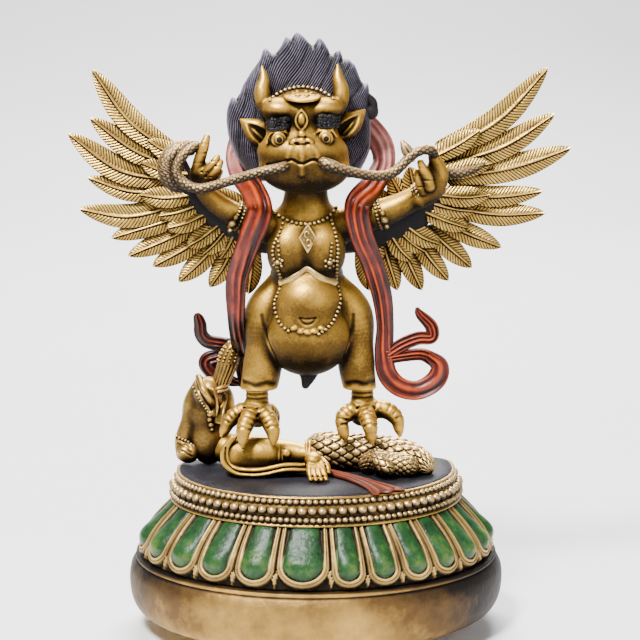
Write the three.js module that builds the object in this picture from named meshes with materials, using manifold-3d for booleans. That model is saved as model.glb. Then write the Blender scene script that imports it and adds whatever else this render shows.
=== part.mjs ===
// Garuda standing on a trampled naga, with spread wings, a snake and a fluttering scarf, on a lotus plinth.
// Millimetres, +Z up. +X is the viewer's right, +Y runs away from the viewer.
// The origin is the middle of the plinth's underside.
import * as THREE from 'three';
import { mergeVertices } from 'three/addons/utils/BufferGeometryUtils.js';
import Module from 'manifold-3d';

const wasm = await Module();
wasm.setup();

// Driving dimensions
const FIGURE_HEIGHT = 234;
const PLINTH_HEIGHT = 78;
const FOOT_HALF_WIDTH = 101.5;
const TOP_HALF_WIDTH = 74.5;
const BEAD_DIAMETER = 5.2;
const SMALL_BEAD_DIAMETER = 3.8;
const LIP_HEIGHT = 0.8;
const RIM_HEIGHT = 1.8;
const PETAL_HEIGHT = 27.4;
const PETAL_RELIEF = 1.3;
const CLEARANCE = 0.3;

// Shape of the plinth's plan: nearly half-round in front, cut off flat behind
const FRONT_DEPTH_RATIO = 0.82;
const BACK_DEPTH_RATIO = 0.34;
const BACK_SQUARENESS = 4;
const BACK_STEPS = 5;

// Petals: shares of the front's length, from the right end to the left, at which the one wide petal
// starts and ends, and how many narrower petals stand to its right and left
const WIDE_PETAL = [0.487, 0.592];
const PETALS_TO_RIGHT = 7;
const PETALS_TO_LEFT = 5;

// The figure's points are written as hundredths of its own height, from the middle of the plinth's top
const SHARE = FIGURE_HEIGHT / 100;

const { PI, abs, cos, max, sign, sin } = Math;
const vec = (x, y, z) => new THREE.Vector3(x, y, z);
const onFigure = ([x, y, z]) => vec(x * SHARE, y * SHARE, PLINTH_HEIGHT + z * SHARE);

// Solids: from a three.js geometry, joined and cut, and back
function toSolid(geometry) {
  geometry.deleteAttribute('normal');
  geometry.deleteAttribute('uv');
  const merged = mergeVertices(geometry, 1e-4);
  const triVerts = new Uint32Array(merged.index.array);
  const shape = new wasm.Mesh({ numProp: 3, vertProperties: merged.attributes.position.array, triVerts });
  const solid = new wasm.Manifold(shape);
  if (solid.volume() > 0) {
    return solid;
  }
  const turned = new wasm.Mesh({
    numProp: 3,
    vertProperties: merged.attributes.position.array,
    triVerts: triVerts.reverse(),
  });
  return new wasm.Manifold(turned);
}

function joined(solids) {
  return solids.reduce((whole, next) => whole.add(next));
}

function without(solid, ...cutters) {
  return cutters.reduce((rest, cutter) => rest.subtract(cutter), solid);
}

// A cut can leave crumbs behind: the piece is its largest body
function mainBody(solid) {
  return solid.decompose().reduce((best, next) => (next.volume() > best.volume() ? next : best));
}

function toGeometry(solid) {
  const mesh = solid.getMesh();
  const geometry = new THREE.BufferGeometry();
  const corners = [];
  for (let i = 0; i < mesh.numVert; i += 1) {
    corners.push(...mesh.position(i));
  }
  geometry.setAttribute('position', new THREE.Float32BufferAttribute(corners, 3));
  geometry.setIndex([...mesh.triVerts]);
  return geometry;
}

// A closed skin over a row of rings with equally many corners; a ring of one corner closes an end to a point
function loft(rings) {
  const corners = rings.flat();
  const starts = [];
  let start = 0;
  for (const ring of rings) {
    starts.push(start);
    start += ring.length;
  }
  const faces = [];
  for (let j = 0; j + 1 < rings.length; j += 1) {
    const sides = max(rings[j].length, rings[j + 1].length);
    for (let i = 0; i < sides; i += 1) {
      const next = (i + 1) % sides;
      const lower = rings[j].length === 1 ? [starts[j]] : [starts[j] + i, starts[j] + next];
      const upper = rings[j + 1].length === 1 ? [starts[j + 1]] : [starts[j + 1] + i, starts[j + 1] + next];
      if (lower.length === 2) {
        faces.push(lower[0], lower[1], upper[upper.length - 1]);
      }
      if (upper.length === 2) {
        faces.push(lower[0], upper[1], upper[0]);
      }
    }
  }
  const last = rings.length - 1;
  for (let i = 1; i + 1 < rings[0].length; i += 1) {
    faces.push(starts[0], starts[0] + i + 1, starts[0] + i);
  }
  for (let i = 1; i + 1 < rings[last].length; i += 1) {
    faces.push(starts[last], starts[last] + i, starts[last] + i + 1);
  }
  const geometry = new THREE.BufferGeometry();
  const numbers = corners.flatMap((p) => [p.x, p.y, p.z]);
  geometry.setAttribute('position', new THREE.Float32BufferAttribute(numbers, 3));
  geometry.setIndex(faces);
  return geometry;
}

// Forms of the figure. Every form can be grown by a few tenths, which gives its neighbours their clearance.
function forms(grow = 0) {
  function ball(centre, radii, { turn = [0, 0, 0], detail = [12, 8] } = {}) {
    const geometry = new THREE.SphereGeometry(1, ...detail);
    geometry.rotateX(PI / 2);
    geometry.scale(...radii.map((r) => r * SHARE + grow));
    const [aroundX, aroundY, aroundZ] = turn.map(THREE.MathUtils.degToRad);
    const spin = new THREE.Euler(aroundX, aroundY, aroundZ);
    geometry.applyMatrix4(new THREE.Matrix4().makeRotationFromEuler(spin));
    const place = onFigure(centre);
    geometry.translate(place.x, place.y, place.z);
    return toSolid(geometry);
  }

  // A round limb through points [x, y, z, radius], with rounded ends
  function limb(points, { steps = 4, sides = 8, flat = 1 } = {}) {
    const path = new THREE.CatmullRomCurve3(points.map(onFigure));
    const girth = new THREE.CatmullRomCurve3(points.map((p) => vec(p[3] * SHARE, 0, 0)));
    const rings = [];
    let across = vec(0, 1, 0);
    const frameAt = (t) => {
      const along = path.getTangent(t);
      const side = vec(0, 0, 0).crossVectors(along, across).normalize();
      across = vec(0, 0, 0).crossVectors(side, along).normalize();
      return { middle: path.getPoint(t), along, side, front: across.clone() };
    };
    for (let j = 0; j <= steps; j += 1) {
      const t = j / steps;
      const { middle, along, side, front } = frameAt(t);
      const radius = girth.getPoint(t).x + grow;
      const ring = [];
      for (let i = 0; i < sides; i += 1) {
        const angle = (2 * PI * (i + 0.5)) / sides;
        ring.push(middle.clone()
          .addScaledVector(side, radius * cos(angle))
          .addScaledVector(front, flat * radius * sin(angle)));
      }
      if (j === 0) {
        rings.push([middle.clone().addScaledVector(along, -0.6 * radius)]);
      }
      rings.push(ring);
      if (j === steps) {
        rings.push([middle.clone().addScaledVector(along, 0.6 * radius)]);
      }
    }
    return toSolid(loft(rings));
  }

  // A ribbon through points [x, y, z, half width], with folds along it. Its back faces away from the viewer,
  // or down where it lies on the ground.
  function ribbon(points, { steps = 12, thickness = 1.5, lying = false } = {}) {
    const away = lying ? vec(0, 0, -1) : vec(0, 1, 0);
    const path = new THREE.CatmullRomCurve3(points.map(onFigure));
    const breadth = new THREE.CatmullRomCurve3(points.map((p) => vec(p[3] * SHARE, 0, 0)));
    const folds = [[-1, 0.4], [-0.5, -1], [0.05, -0.3], [0.6, -1], [1, 0.4]];
    const rings = [];
    for (let j = 0; j <= steps; j += 1) {
      const t = j / steps;
      const along = path.getTangent(t);
      const side = vec(0, 0, 0).crossVectors(along, away).normalize();
      const front = vec(0, 0, 0).crossVectors(side, along).normalize();
      const half = breadth.getPoint(t).x + grow;
      const deep = (thickness * SHARE) / 2 + grow;
      rings.push(folds.map(([u, v]) => path.getPoint(t)
        .addScaledVector(side, u * half)
        .addScaledVector(front, v * deep)));
    }
    return toSolid(loft(rings));
  }

  return { ball, limb, ribbon };
}

// Plinth
const PLINTH_SHIFT = (FOOT_HALF_WIDTH * (FRONT_DEPTH_RATIO - BACK_DEPTH_RATIO)) / 2;

function frontPoint(halfWidth, angle, z) {
  return vec(halfWidth * cos(angle), PLINTH_SHIFT - halfWidth * FRONT_DEPTH_RATIO * sin(angle), z);
}

// Angles at shares of the front's length, which runs from one end of the straight back to the other
function anglesAt(halfWidth, shares) {
  const fine = 720;
  const lengths = [0];
  for (let i = 1; i <= fine; i += 1) {
    const from = frontPoint(halfWidth, (PI * (i - 1)) / fine, 0);
    lengths.push(lengths[i - 1] + from.distanceTo(frontPoint(halfWidth, (PI * i) / fine, 0)));
  }
  return shares.map((share) => {
    const reached = lengths.findIndex((length) => length >= share * lengths[fine]);
    return (PI * reached) / fine;
  });
}

function evenShares(number, from = 0, to = 1) {
  return Array.from({ length: number }, (_, k) => from + ((to - from) * k) / number);
}

const PETAL_STARTS = [
  ...evenShares(PETALS_TO_RIGHT, 0, WIDE_PETAL[0]),
  WIDE_PETAL[0],
  ...evenShares(PETALS_TO_LEFT, WIDE_PETAL[1], 1),
];

function backPoints(halfWidth, z) {
  const squared = (value) => sign(value) * abs(value) ** (2 / BACK_SQUARENESS);
  return Array.from({ length: BACK_STEPS }, (_, i) => {
    const angle = (PI * i) / BACK_STEPS;
    const y = PLINTH_SHIFT + halfWidth * BACK_DEPTH_RATIO * squared(sin(angle));
    return vec(-halfWidth * squared(cos(angle)), y, z);
  });
}

// The facets of the plinth meet between its petals
function planRing(halfWidth, z) {
  const starts = anglesAt(PETAL_MIDDLE_HALF_WIDTH, PETAL_STARTS);
  return [...starts.map((angle) => frontPoint(halfWidth, angle, z)), ...backPoints(halfWidth, z)];
}

// Heights down from the top, and half widths out from the top's edge
const TIER_TOP = PLINTH_HEIGHT - LIP_HEIGHT;
const PETAL_TOP = TIER_TOP - BEAD_DIAMETER - 2 * SMALL_BEAD_DIAMETER - RIM_HEIGHT;
const PETAL_TIP = PETAL_TOP - PETAL_HEIGHT;
const PETAL_TIP_HALF_WIDTH = FOOT_HALF_WIDTH - 5;
const PETAL_TOP_HALF_WIDTH = TOP_HALF_WIDTH + 3;
const PETAL_MIDDLE_HALF_WIDTH = (PETAL_TOP_HALF_WIDTH + PETAL_TIP_HALF_WIDTH) / 2;

function plinthCore() {
  const row = SMALL_BEAD_DIAMETER / 2;
  const bellTop = PETAL_TIP - 2.5;
  const profile = [
    [FOOT_HALF_WIDTH - 12, 0],
    [FOOT_HALF_WIDTH - 4, bellTop * 0.24],
    [FOOT_HALF_WIDTH, bellTop * 0.55],
    [FOOT_HALF_WIDTH - 1.5, bellTop * 0.85],
    [FOOT_HALF_WIDTH - 8, bellTop],
    [PETAL_TOP_HALF_WIDTH - 3, PETAL_TOP - 0.5],
    [PETAL_TOP_HALF_WIDTH + row, PETAL_TOP + RIM_HEIGHT + row],
    [PETAL_TOP_HALF_WIDTH, TIER_TOP - SMALL_BEAD_DIAMETER - BEAD_DIAMETER],
    [PETAL_TOP_HALF_WIDTH - 0.5, TIER_TOP - SMALL_BEAD_DIAMETER],
    [TOP_HALF_WIDTH + 0.5 + row, TIER_TOP - row],
    [TOP_HALF_WIDTH, PLINTH_HEIGHT],
  ];
  return toSolid(loft(profile.map(([halfWidth, z]) => planRing(halfWidth, z))));
}

function beadRow() {
  const halfWidth = PETAL_TOP_HALF_WIDTH + 0.1 * BEAD_DIAMETER;
  const z = TIER_TOP - SMALL_BEAD_DIAMETER - BEAD_DIAMETER / 2;
  const frontLength = (PI * halfWidth * (1 + FRONT_DEPTH_RATIO)) / 2;
  const number = Math.floor(frontLength / BEAD_DIAMETER);
  const middles = evenShares(number, 0.5 / number, 1 + 0.5 / number);
  return anglesAt(halfWidth, middles).map((angle) => {
    const bead = new THREE.ConeGeometry(BEAD_DIAMETER * 0.49, BEAD_DIAMETER, 4);
    bead.rotateX(PI / 2);
    bead.rotateY(PI / 2);
    bead.rotateZ(-angle);
    const place = frontPoint(halfWidth, angle, z);
    bead.translate(place.x, place.y, place.z);
    return toSolid(bead);
  });
}

// The skirt of lotus petals: each is a tongue with a bulging middle and a rounded lower end
const PETAL_COLUMNS = [[0, 0], [0.13, 1.5], [0.5, 2.9], [0.87, 1.5]];

function skirtRing(along) {
  const starts = anglesAt(PETAL_MIDDLE_HALF_WIDTH, PETAL_STARTS);
  const front = starts.flatMap((start, k) => {
    const end = starts[k + 1] ?? PI;
    return PETAL_COLUMNS.map(([within, height]) => {
      const angle = start + (end - start) * within;
      const reach = along * (1 - 0.24 * abs(2 * within - 1) ** 3);
      const rise = height * PETAL_RELIEF * sin(PI * max(along * 0.9, 0.2));
      const halfWidth = PETAL_TOP_HALF_WIDTH + (PETAL_TIP_HALF_WIDTH - PETAL_TOP_HALF_WIDTH) * reach;
      const belly = 2.5 * sin(PI * reach);
      return frontPoint(halfWidth + belly + rise, angle, PETAL_TOP + (PETAL_TIP - PETAL_TOP) * reach);
    });
  });
  const halfWidth = PETAL_TOP_HALF_WIDTH + (PETAL_TIP_HALF_WIDTH - PETAL_TOP_HALF_WIDTH) * along;
  return [...front, ...backPoints(halfWidth, PETAL_TOP + (PETAL_TIP - PETAL_TOP) * along)];
}

// A plain ring with as many corners as the skirt, hidden inside the plinth
function hiddenRing(halfWidth, z) {
  const starts = anglesAt(PETAL_MIDDLE_HALF_WIDTH, PETAL_STARTS);
  const front = starts.flatMap((start, k) => {
    const end = starts[k + 1] ?? PI;
    return PETAL_COLUMNS.map(([within]) => frontPoint(halfWidth, start + (end - start) * within, z));
  });
  return [...front, ...backPoints(halfWidth, z)];
}

function petalSkirt() {
  return toSolid(loft([
    hiddenRing(PETAL_TOP_HALF_WIDTH - 4, PETAL_TOP + 2),
    ...[0, 0.4, 0.8, 1].map(skirtRing),
    hiddenRing(FOOT_HALF_WIDTH - 12, PETAL_TIP - 4),
  ]));
}

function lotusPlinth() {
  return joined([plinthCore(), petalSkirt(), ...beadRow()]);
}

// Garuda: head with mane, horns and ears, body, arms and clawed feet, one casting
const HAIR_TIPS = [
  [-19.6, 9, 86.2], [-16.8, 9, 89.6], [-12.2, 9, 95.4], [-6.8, 9, 97.8], [-4.3, 9, 99.6],
  [0.9, 9, 98], [5.6, 9, 95.2], [8.2, 9, 92.8], [11.4, 9, 88.2],
];
const HAIR_ROOT = [-4, 8.5, 83];
const MANE = [
  [-2.4, 8.6, 68, 10.8], [-4, 8.5, 74.4, 15.4], [-4.4, 8.5, 80.6, 16.1], [-3.8, 8.5, 86, 14.6],
  [-3.8, 8.5, 91, 10.8], [-4, 8.6, 95.6, 5.4],
];

function garudaHead({ ball, limb }) {
  const locks = HAIR_TIPS.map((tip) => {
    const root = tip.map((value, axis) => HAIR_ROOT[axis] + (value - HAIR_ROOT[axis]) * 0.6);
    return limb([[...root, 3.2], [...tip, 0.4]], { steps: 1, sides: 4 });
  });
  const horn = { steps: 3, sides: 5 };
  const ear = { steps: 2, sides: 5, flat: 0.6 };
  return [
    limb(MANE, { steps: 4, sides: 8, flat: 0.42 }),
    ...locks,
    ball([12.7, 8.5, 81.8], [1.6, 1.6, 1.6], { detail: [5, 3] }),
    ball([-3.4, 3.4, 78.4], [8.2, 7.6, 8.6], { detail: [8, 6] }),
    ball([-3.6, 2.2, 82.3], [9, 6.6, 3.6], { detail: [8, 4] }),
    ball([-3.7, -1.2, 74.3], [8.6, 6.4, 4], { detail: [8, 4] }),
    ball([-3.2, 0.8, 69], [10.2, 7.8, 5.2], { detail: [7, 5] }),
    ball([-3.6, -1.6, 85.4], [4.4, 3, 1.7], { turn: [-35, 0, 0], detail: [8, 4] }),
    ball([-3.8, -4.4, 80.4], [1.3, 1, 2.3], { detail: [6, 3] }),
    ball([-8.9, -3.6, 79.5], [2.6, 1.5, 1.5], { turn: [0, -4, 20], detail: [5, 3] }),
    ball([1.4, -3.6, 80.2], [2.6, 1.5, 1.5], { turn: [0, 8, -20], detail: [5, 3] }),
    ball([-8.8, -4.6, 76.6], [2.1, 1.6, 2.1], { detail: [6, 3] }),
    ball([1.2, -4.6, 77.2], [2.1, 1.6, 2.1], { detail: [6, 3] }),
    ball([-3.9, -6.2, 76.7], [2.4, 1.9, 1.3], { detail: [6, 3] }),
    limb([[-9.6, 1, 82, 2], [-12.6, 1.2, 86.4, 1.6], [-12.2, 1.8, 91.6, 0.3]], horn),
    limb([[3, 1, 82, 2], [5.2, 1.2, 86.3, 1.6], [4.4, 1.8, 92, 0.3]], horn),
    limb([[-10.6, 3.4, 76.9, 2.4], [-13.4, 3.4, 78.2, 2.3], [-16.8, 4.4, 80.4, 0.4]], ear),
    limb([[4.2, 3.4, 78, 2.4], [7, 3.4, 79.4, 2.3], [10.4, 4.4, 82.2, 0.4]], ear),
  ];
}

function garudaBody({ ball, limb }) {
  return [
    limb([[-2.5, 4, 70, 5], [-2.5, 5.4, 63.5, 5], [-2.5, 5.8, 57.5, 6.4]], { steps: 2, sides: 7 }),
    ball([-2.5, 7.4, 53.2], [9.4, 6.2, 8.4], { detail: [8, 5] }),
    ball([-6.3, 3.2, 52.4], [4.9, 4.6, 6.2], { detail: [7, 5] }),
    ball([1.2, 3.2, 52.4], [4.9, 4.6, 6.2], { detail: [7, 5] }),
    ball([-2.8, -0.9, 55.2], [1.9, 0.9, 3.3], { detail: [4, 2] }),
    ball([-2.1, 4, 39.6], [7.8, 7, 7.6], { detail: [8, 5] }),
    ball([-2.2, 4.6, 32], [9.9, 8.8, 9], { detail: [9, 5] }),
    ball([-2.2, 8.8, 37], [11.6, 6.6, 8.4], { detail: [8, 4] }),
    ball([-2.3, 6.4, 46], [8.2, 5.6, 4], { detail: [7, 4] }),
    limb([[-1.9, 4.8, 26, 2.4], [-1.9, 4.8, 21.6, 0.7]], { steps: 1, sides: 5 }),
  ];
}

function garudaArms({ ball, limb }) {
  const finger = { steps: 2, sides: 4 };
  return [
    limb([
      [-8.5, 6.4, 55.4, 4.2], [-14, 5.4, 57.6, 3.3], [-18.3, 4.8, 59.4, 2.9], [-22.6, 4, 62.2, 2.5],
      [-25.4, 2.6, 65.8, 2.2], [-25.6, 1, 69.4, 2.3],
    ], { steps: 4, sides: 6 }),
    ball([-25.4, 0.6, 70.2], [2.8, 1.9, 2.9], { detail: [6, 4] }),
    limb([[-25.2, 0.2, 71.5, 1.2], [-25.2, 0, 74.2, 1.1], [-24.4, 0.2, 76.8, 0.8]], finger),
    limb([[-24.6, -1, 69.6, 1.2], [-22.8, -1.5, 70.6, 1.1], [-21.4, -1.3, 72.4, 0.9]], finger),
    limb([[-27.6, -0.4, 71, 1.1], [-28.2, -2, 70, 1.1], [-27.6, -2.6, 68.6, 0.9]], finger),
    limb([
      [4, 6.4, 56, 4.2], [9.4, 5.4, 58.2, 3.5], [14.4, 4.7, 59.6, 3.2], [18.6, 4.2, 61.4, 2.8],
      [22.4, 3.4, 63.4, 2.5], [25, 1.8, 66.2, 2.4],
    ], { steps: 4, sides: 6 }),
    ball([25, 0.8, 68.6], [2.7, 1.8, 3.6], { turn: [0, -8, 0], detail: [6, 4] }),
    limb([[25.4, 0.6, 71, 1.2], [25.4, 0, 73.4, 1.1], [24.6, -1.2, 74.6, 0.9]], finger),
    limb([[23.6, -0.6, 68.4, 1.2], [22.4, -1.6, 70.2, 1.1], [22.2, -1.4, 72.4, 0.9]], finger),
  ];
}

// A bird's foot: an ankle and toes that run out, bend down and end in claws
function foot({ limb }, ankle, toes) {
  const [x, y, z] = ankle;
  return [
    limb([[x, y, z + 8, 2.3], [x, y, z + 3, 2.4], [x, y, z - 0.6, 2.8]], { steps: 2, sides: 6 }),
    ...toes.map(([knuckle, bend, claw]) => limb(
      [[x, y, z, 1.9], [...knuckle, 1.8], [...bend, 1.5], [...claw, 0.3]],
      { steps: 3, sides: 5 },
    )),
  ];
}

function garudaLegs(form) {
  const { limb } = form;
  const thigh = { steps: 3, sides: 7 };
  return [
    limb([[-7.5, 8, 42, 4.6], [-11.4, 7.6, 35, 5.3], [-12.4, 7, 27, 4.6], [-13.6, 6.4, 20, 4.3]], thigh),
    limb([[3, 8, 42, 4.6], [7.2, 7.6, 35, 5.2], [8.9, 7, 27, 4.3], [10.2, 6.4, 20, 3.6]], thigh),
    ...foot(form, [-13.6, 7, 14], [
      [[-17, 6.2, 14], [-20, 5.6, 12], [-21.8, 5.2, 9.4]],
      [[-15.8, 2.4, 14], [-17, -0.6, 11.4], [-17.2, -1.6, 7.4]],
      [[-11.4, 2.4, 14], [-10.7, -0.4, 11.8], [-10.5, -1, 8]],
      [[-11.2, 9.6, 13.6], [-10, 11.6, 11.6], [-9.6, 12, 8.6]],
    ]),
    ...foot(form, [10.4, 7, 14], [
      [[7.6, 5, 13.8], [5.9, 3.2, 11.4], [6.4, 2.4, 8.4]],
      [[11, 2, 13.8], [11.5, -1.2, 11.6], [11.7, -2, 7.8]],
      [[15.4, 5, 14], [18.4, 3.8, 12.4], [19.3, 3.2, 8.4]],
      [[11.6, 9.8, 13.4], [12.6, 11.6, 11.4], [12.8, 12, 8.6]],
    ]),
  ];
}

function garuda(grow = 0) {
  const form = forms(grow);
  return joined([...garudaBody(form), ...garudaHead(form), ...garudaArms(form), ...garudaLegs(form)]);
}

// Wings. A feather is [root, middle, tip, width] in the plane of the wing, as [across, up]
const LEFT_FEATHERS = [
  [[-32.7, 72.2], [-43.2, 80.8], [-49.7, 91.3], 4.9],
  [[-33, 70.6], [-42.2, 74.6], [-50.3, 80.7], 5],
  [[-32.4, 68], [-46, 70.9], [-55.3, 77.4], 5.6],
  [[-32, 65.6], [-43, 63.9], [-51.3, 67], 4.6],
  [[-30.7, 61.4], [-43.1, 59.1], [-53.5, 60.2], 5.2],
  [[-28.4, 58.9], [-37.5, 55.9], [-46.2, 53.4], 4.4],
  [[-26.2, 56.8], [-34.2, 52.7], [-42.4, 49.2], 4.4],
  [[-24, 54.8], [-29.7, 50.4], [-36.8, 46.7], 4.4],
  [[-21.3, 53], [-25.4, 47.6], [-31, 43.4], 4.4],
  [[-18.4, 52], [-20.9, 46.2], [-23.9, 42.2], 4.4],
  [[-13.6, 52], [-13.9, 45.2], [-14.4, 40.2], 5],
];
const RIGHT_FEATHERS = [
  [[26.3, 72.4], [40.6, 79], [52, 91.4], 4.9],
  [[28.2, 70.6], [41.9, 74.4], [54, 80.9], 5],
  [[29, 68.6], [44.7, 69.2], [57.9, 73.8], 5.9],
  [[29, 65], [41.6, 63.3], [51.7, 63.4], 4.6],
  [[28.8, 61.2], [41, 58.4], [52.5, 58.1], 5.2],
  [[27.2, 57.8], [34.9, 54.1], [42.5, 50.5], 4.6],
  [[24.9, 55.8], [30.6, 50.4], [35.6, 46], 4.6],
  [[21.9, 54.2], [26.2, 47.7], [30.3, 43], 4.4],
  [[18.8, 53], [21.9, 45.9], [24.1, 40.8], 4.4],
  [[15.1, 52.4], [17, 46], [18.5, 40.8], 4.4],
  [[9.6, 52], [10.6, 45], [11.4, 41], 5],
];
const LEFT_COVERTS = [
  [[-30.4, 72], [-33.8, 73.6], [-37.4, 75.6], 3.8],
  [[-29.8, 68.4], [-34.4, 69.1], [-38.9, 70.6], 4],
  [[-28.6, 64.4], [-34.2, 63.1], [-39.4, 63.3], 4.2],
  [[-25.6, 60], [-29.8, 57.4], [-33.6, 55.4], 4],
  [[-22.6, 57.4], [-25.8, 53.8], [-29, 51.3], 4],
  [[-19, 55], [-20, 51.2], [-21.3, 48.7], 4],
];
const RIGHT_COVERTS = [
  [[26, 71.6], [31.6, 74.6], [36.6, 77.7], 3.8],
  [[27.4, 68.4], [33.8, 69.1], [39.4, 70.3], 4],
  [[27.2, 63.6], [33.6, 62.5], [39, 62.9], 4.2],
  [[25, 59.6], [30, 57.2], [34.4, 55.5], 4],
  [[20.4, 56.4], [24.2, 53.4], [28, 51.8], 4],
  [[17, 54.6], [19, 50.8], [21.6, 48], 4],
];
const FEATHER_THICKNESS = 1.3;
const FEATHER_OVERLAP = 1.25;
const WING_DEPTH = 11.6;
const COVERT_DEPTH = 10.7;

function feather([root, middle, tip, width], depth) {
  const across = ([x, z]) => onFigure([x, depth, z]);
  const path = new THREE.CatmullRomCurve3([root, middle, tip].map(across));
  const stations = [[0, 0.9], [0.5, 1.08], [0.87, 0.66]];
  const rings = stations.map(([t, breadth]) => {
    const middlePoint = path.getPoint(t);
    const side = vec(0, 0, 0).crossVectors(path.getTangent(t), vec(0, 1, 0)).normalize();
    const half = (breadth * width * FEATHER_OVERLAP * SHARE) / 2;
    return [
      middlePoint.clone().addScaledVector(side, half),
      middlePoint.clone().add(vec(0, -FEATHER_THICKNESS * SHARE, 0)),
      middlePoint.clone().addScaledVector(side, -half),
    ];
  });
  return toSolid(loft([...rings, [path.getPoint(1)]]));
}

// Neighbouring feathers lie a little in front of and behind each other, like tiles
function wing(armPoints, feathers, coverts) {
  const { limb } = forms();
  return joined([
    limb(armPoints, { steps: 4, sides: 6 }),
    ...feathers.map((shape, i) => feather(shape, WING_DEPTH + 0.3 * (i % 2))),
    ...coverts.map((shape, i) => feather(shape, COVERT_DEPTH + 0.3 * (i % 2))),
  ]);
}

const LEFT_WING_ARM = [
  [-7, 10.6, 54.6, 3], [-13, 10.6, 55.2, 3.2], [-19, 10.8, 57.4, 3.2], [-25, 11, 61.4, 3],
  [-29, 11.2, 66, 2.6], [-31, 11.2, 71, 1.8],
];
const RIGHT_WING_ARM = [
  [3, 10.6, 54.6, 3], [9, 10.6, 55.2, 3.2], [15, 10.8, 56.6, 3.2], [21.6, 11, 59, 3],
  [26.4, 11.2, 64, 2.6], [27.4, 11.2, 71, 1.8],
];

// Snake, from each hand to the beak
function snake(grow = 0) {
  const { limb } = forms(grow);
  return joined([
    limb([
      [-4, -6.6, 71.8, 1.2], [-8, -7.4, 71.2, 1.2], [-12.9, -7, 69.9, 1.2], [-18.3, -5.4, 68.2, 1.2],
      [-23.3, -3.4, 66.6, 1.4], [-27.8, -2, 66.6, 1.8], [-31.2, -0.8, 68.8, 2.3], [-31.9, 0.4, 71.8, 2.4],
      [-30.2, 1.6, 74, 2.2], [-27.2, 2.2, 74.8, 1.6],
    ], { steps: 12, sides: 5 }),
    limb([
      [-4, -6.6, 71.8, 1.2], [0.4, -7.4, 71.6, 1.3], [4.3, -7.2, 70.3, 1.3], [8.7, -6.4, 69.3, 1.2],
      [13.2, -4.9, 68.8, 1.2], [16.6, -3.6, 69.8, 1.3], [19.6, -3, 72.4, 1.3], [23.2, -2.4, 74.3, 1.3],
      [26.2, 0, 72.6, 1.3], [28, 3.2, 69.4, 1.3], [32, 5.4, 68.5, 1.3], [35.4, 6.2, 69.4, 0.9],
      [37.8, 6.8, 70.6, 0.5],
    ], { steps: 13, sides: 5 }),
    limb(
      [[20.2, -2.8, 72.2, 0.8], [19.1, -2.8, 74, 1.2], [18.2, -2.4, 75.9, 0.5]],
      { steps: 2, sides: 6, flat: 0.8 },
    ),
  ]);
}

// Scarf: one ribbon from the left curl over the shoulders and behind the head to the right curl
function scarf(grow = 0) {
  const { ribbon } = forms(grow);
  return joined([
    ribbon([
      [-16.2, 14.4, 18.4, 1.4], [-16.6, 14.4, 22.8, 2], [-17.1, 11.4, 26.6, 2], [-17.7, 7.6, 31, 2],
      [-18.2, 5, 36, 2], [-18.2, 3.6, 43.8, 2.4], [-16.9, 1.4, 49.2, 2.5],
      [-15.1, -0.4, 54.7, 2.5], [-13.4, -0.6, 60.5, 2.5], [-14.6, 3.8, 64.6, 2.5], [-17, 10, 68.4, 2.6],
      [-17.5, 14.6, 73.1, 2.6], [-14, 16, 80, 2.6], [-3.3, 16.8, 84.4, 2.6], [7.6, 16, 81.6, 2.6],
      [14.2, 15, 75.7, 2.8], [15.4, 11.6, 70.4, 2.6], [12.8, 5, 65.8, 2.5], [9.2, -0.4, 62, 2.5],
      [9.7, -0.4, 55.9, 2.4], [12, 1.4, 49, 2.5], [14.4, 3.4, 41.3, 2.3], [15.3, 4.8, 34.3, 2],
      [15.2, 5.6, 28.4, 2.2], [15.8, 5.6, 23.2, 2.3], [18.6, 5.6, 19.9, 2.3], [23, 5.6, 19, 2.3],
      [27, 5.6, 21.3, 2.4], [27.8, 5.6, 24.6, 2.1], [25, 5.6, 27.2, 1.3],
    ], { steps: 30 }),
    ribbon(
      [[27.2, 5.8, 25.4, 1.6], [24, 5.8, 27.2, 1.5], [20, 5.8, 27, 1.4], [16, 5.8, 26.4, 1.4]],
      { steps: 4 },
    ),
    ribbon([
      [16, 5.6, 27.4, 1.4], [19.3, 5.6, 29.6, 1.6], [22.9, 5.6, 31, 1.6], [26, 5.6, 31.2, 1.5],
      [25.8, 5.6, 33.8, 1.2], [22.6, 5.6, 37.7, 0.4],
    ], { steps: 6 }),
    ribbon([
      [-17.8, 8.6, 30.9, 1.6], [-17.5, 13.6, 29.8, 1.5], [-19.5, 19, 27.6, 1.6], [-22.5, 19.6, 27.7, 1.7],
      [-25, 19.6, 28.3, 1.7], [-26.4, 19.6, 30, 1.6], [-26.6, 19.6, 32.3, 1.5], [-27.2, 19.6, 34.6, 0.9],
    ], { steps: 6 }),
    ribbon([
      [-17.8, 12, 27, 2], [-18.8, 17, 25.2, 2.2], [-21.6, 20, 24.4, 2.2], [-24.8, 20.2, 23.4, 2.2],
      [-24.4, 20.2, 21.5, 2], [-22.3, 20, 19.9, 1.8], [-19.8, 19.6, 18.9, 1.5], [-17.4, 19, 18.3, 0.8],
    ], { steps: 6 }),
  ]);
}

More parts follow.
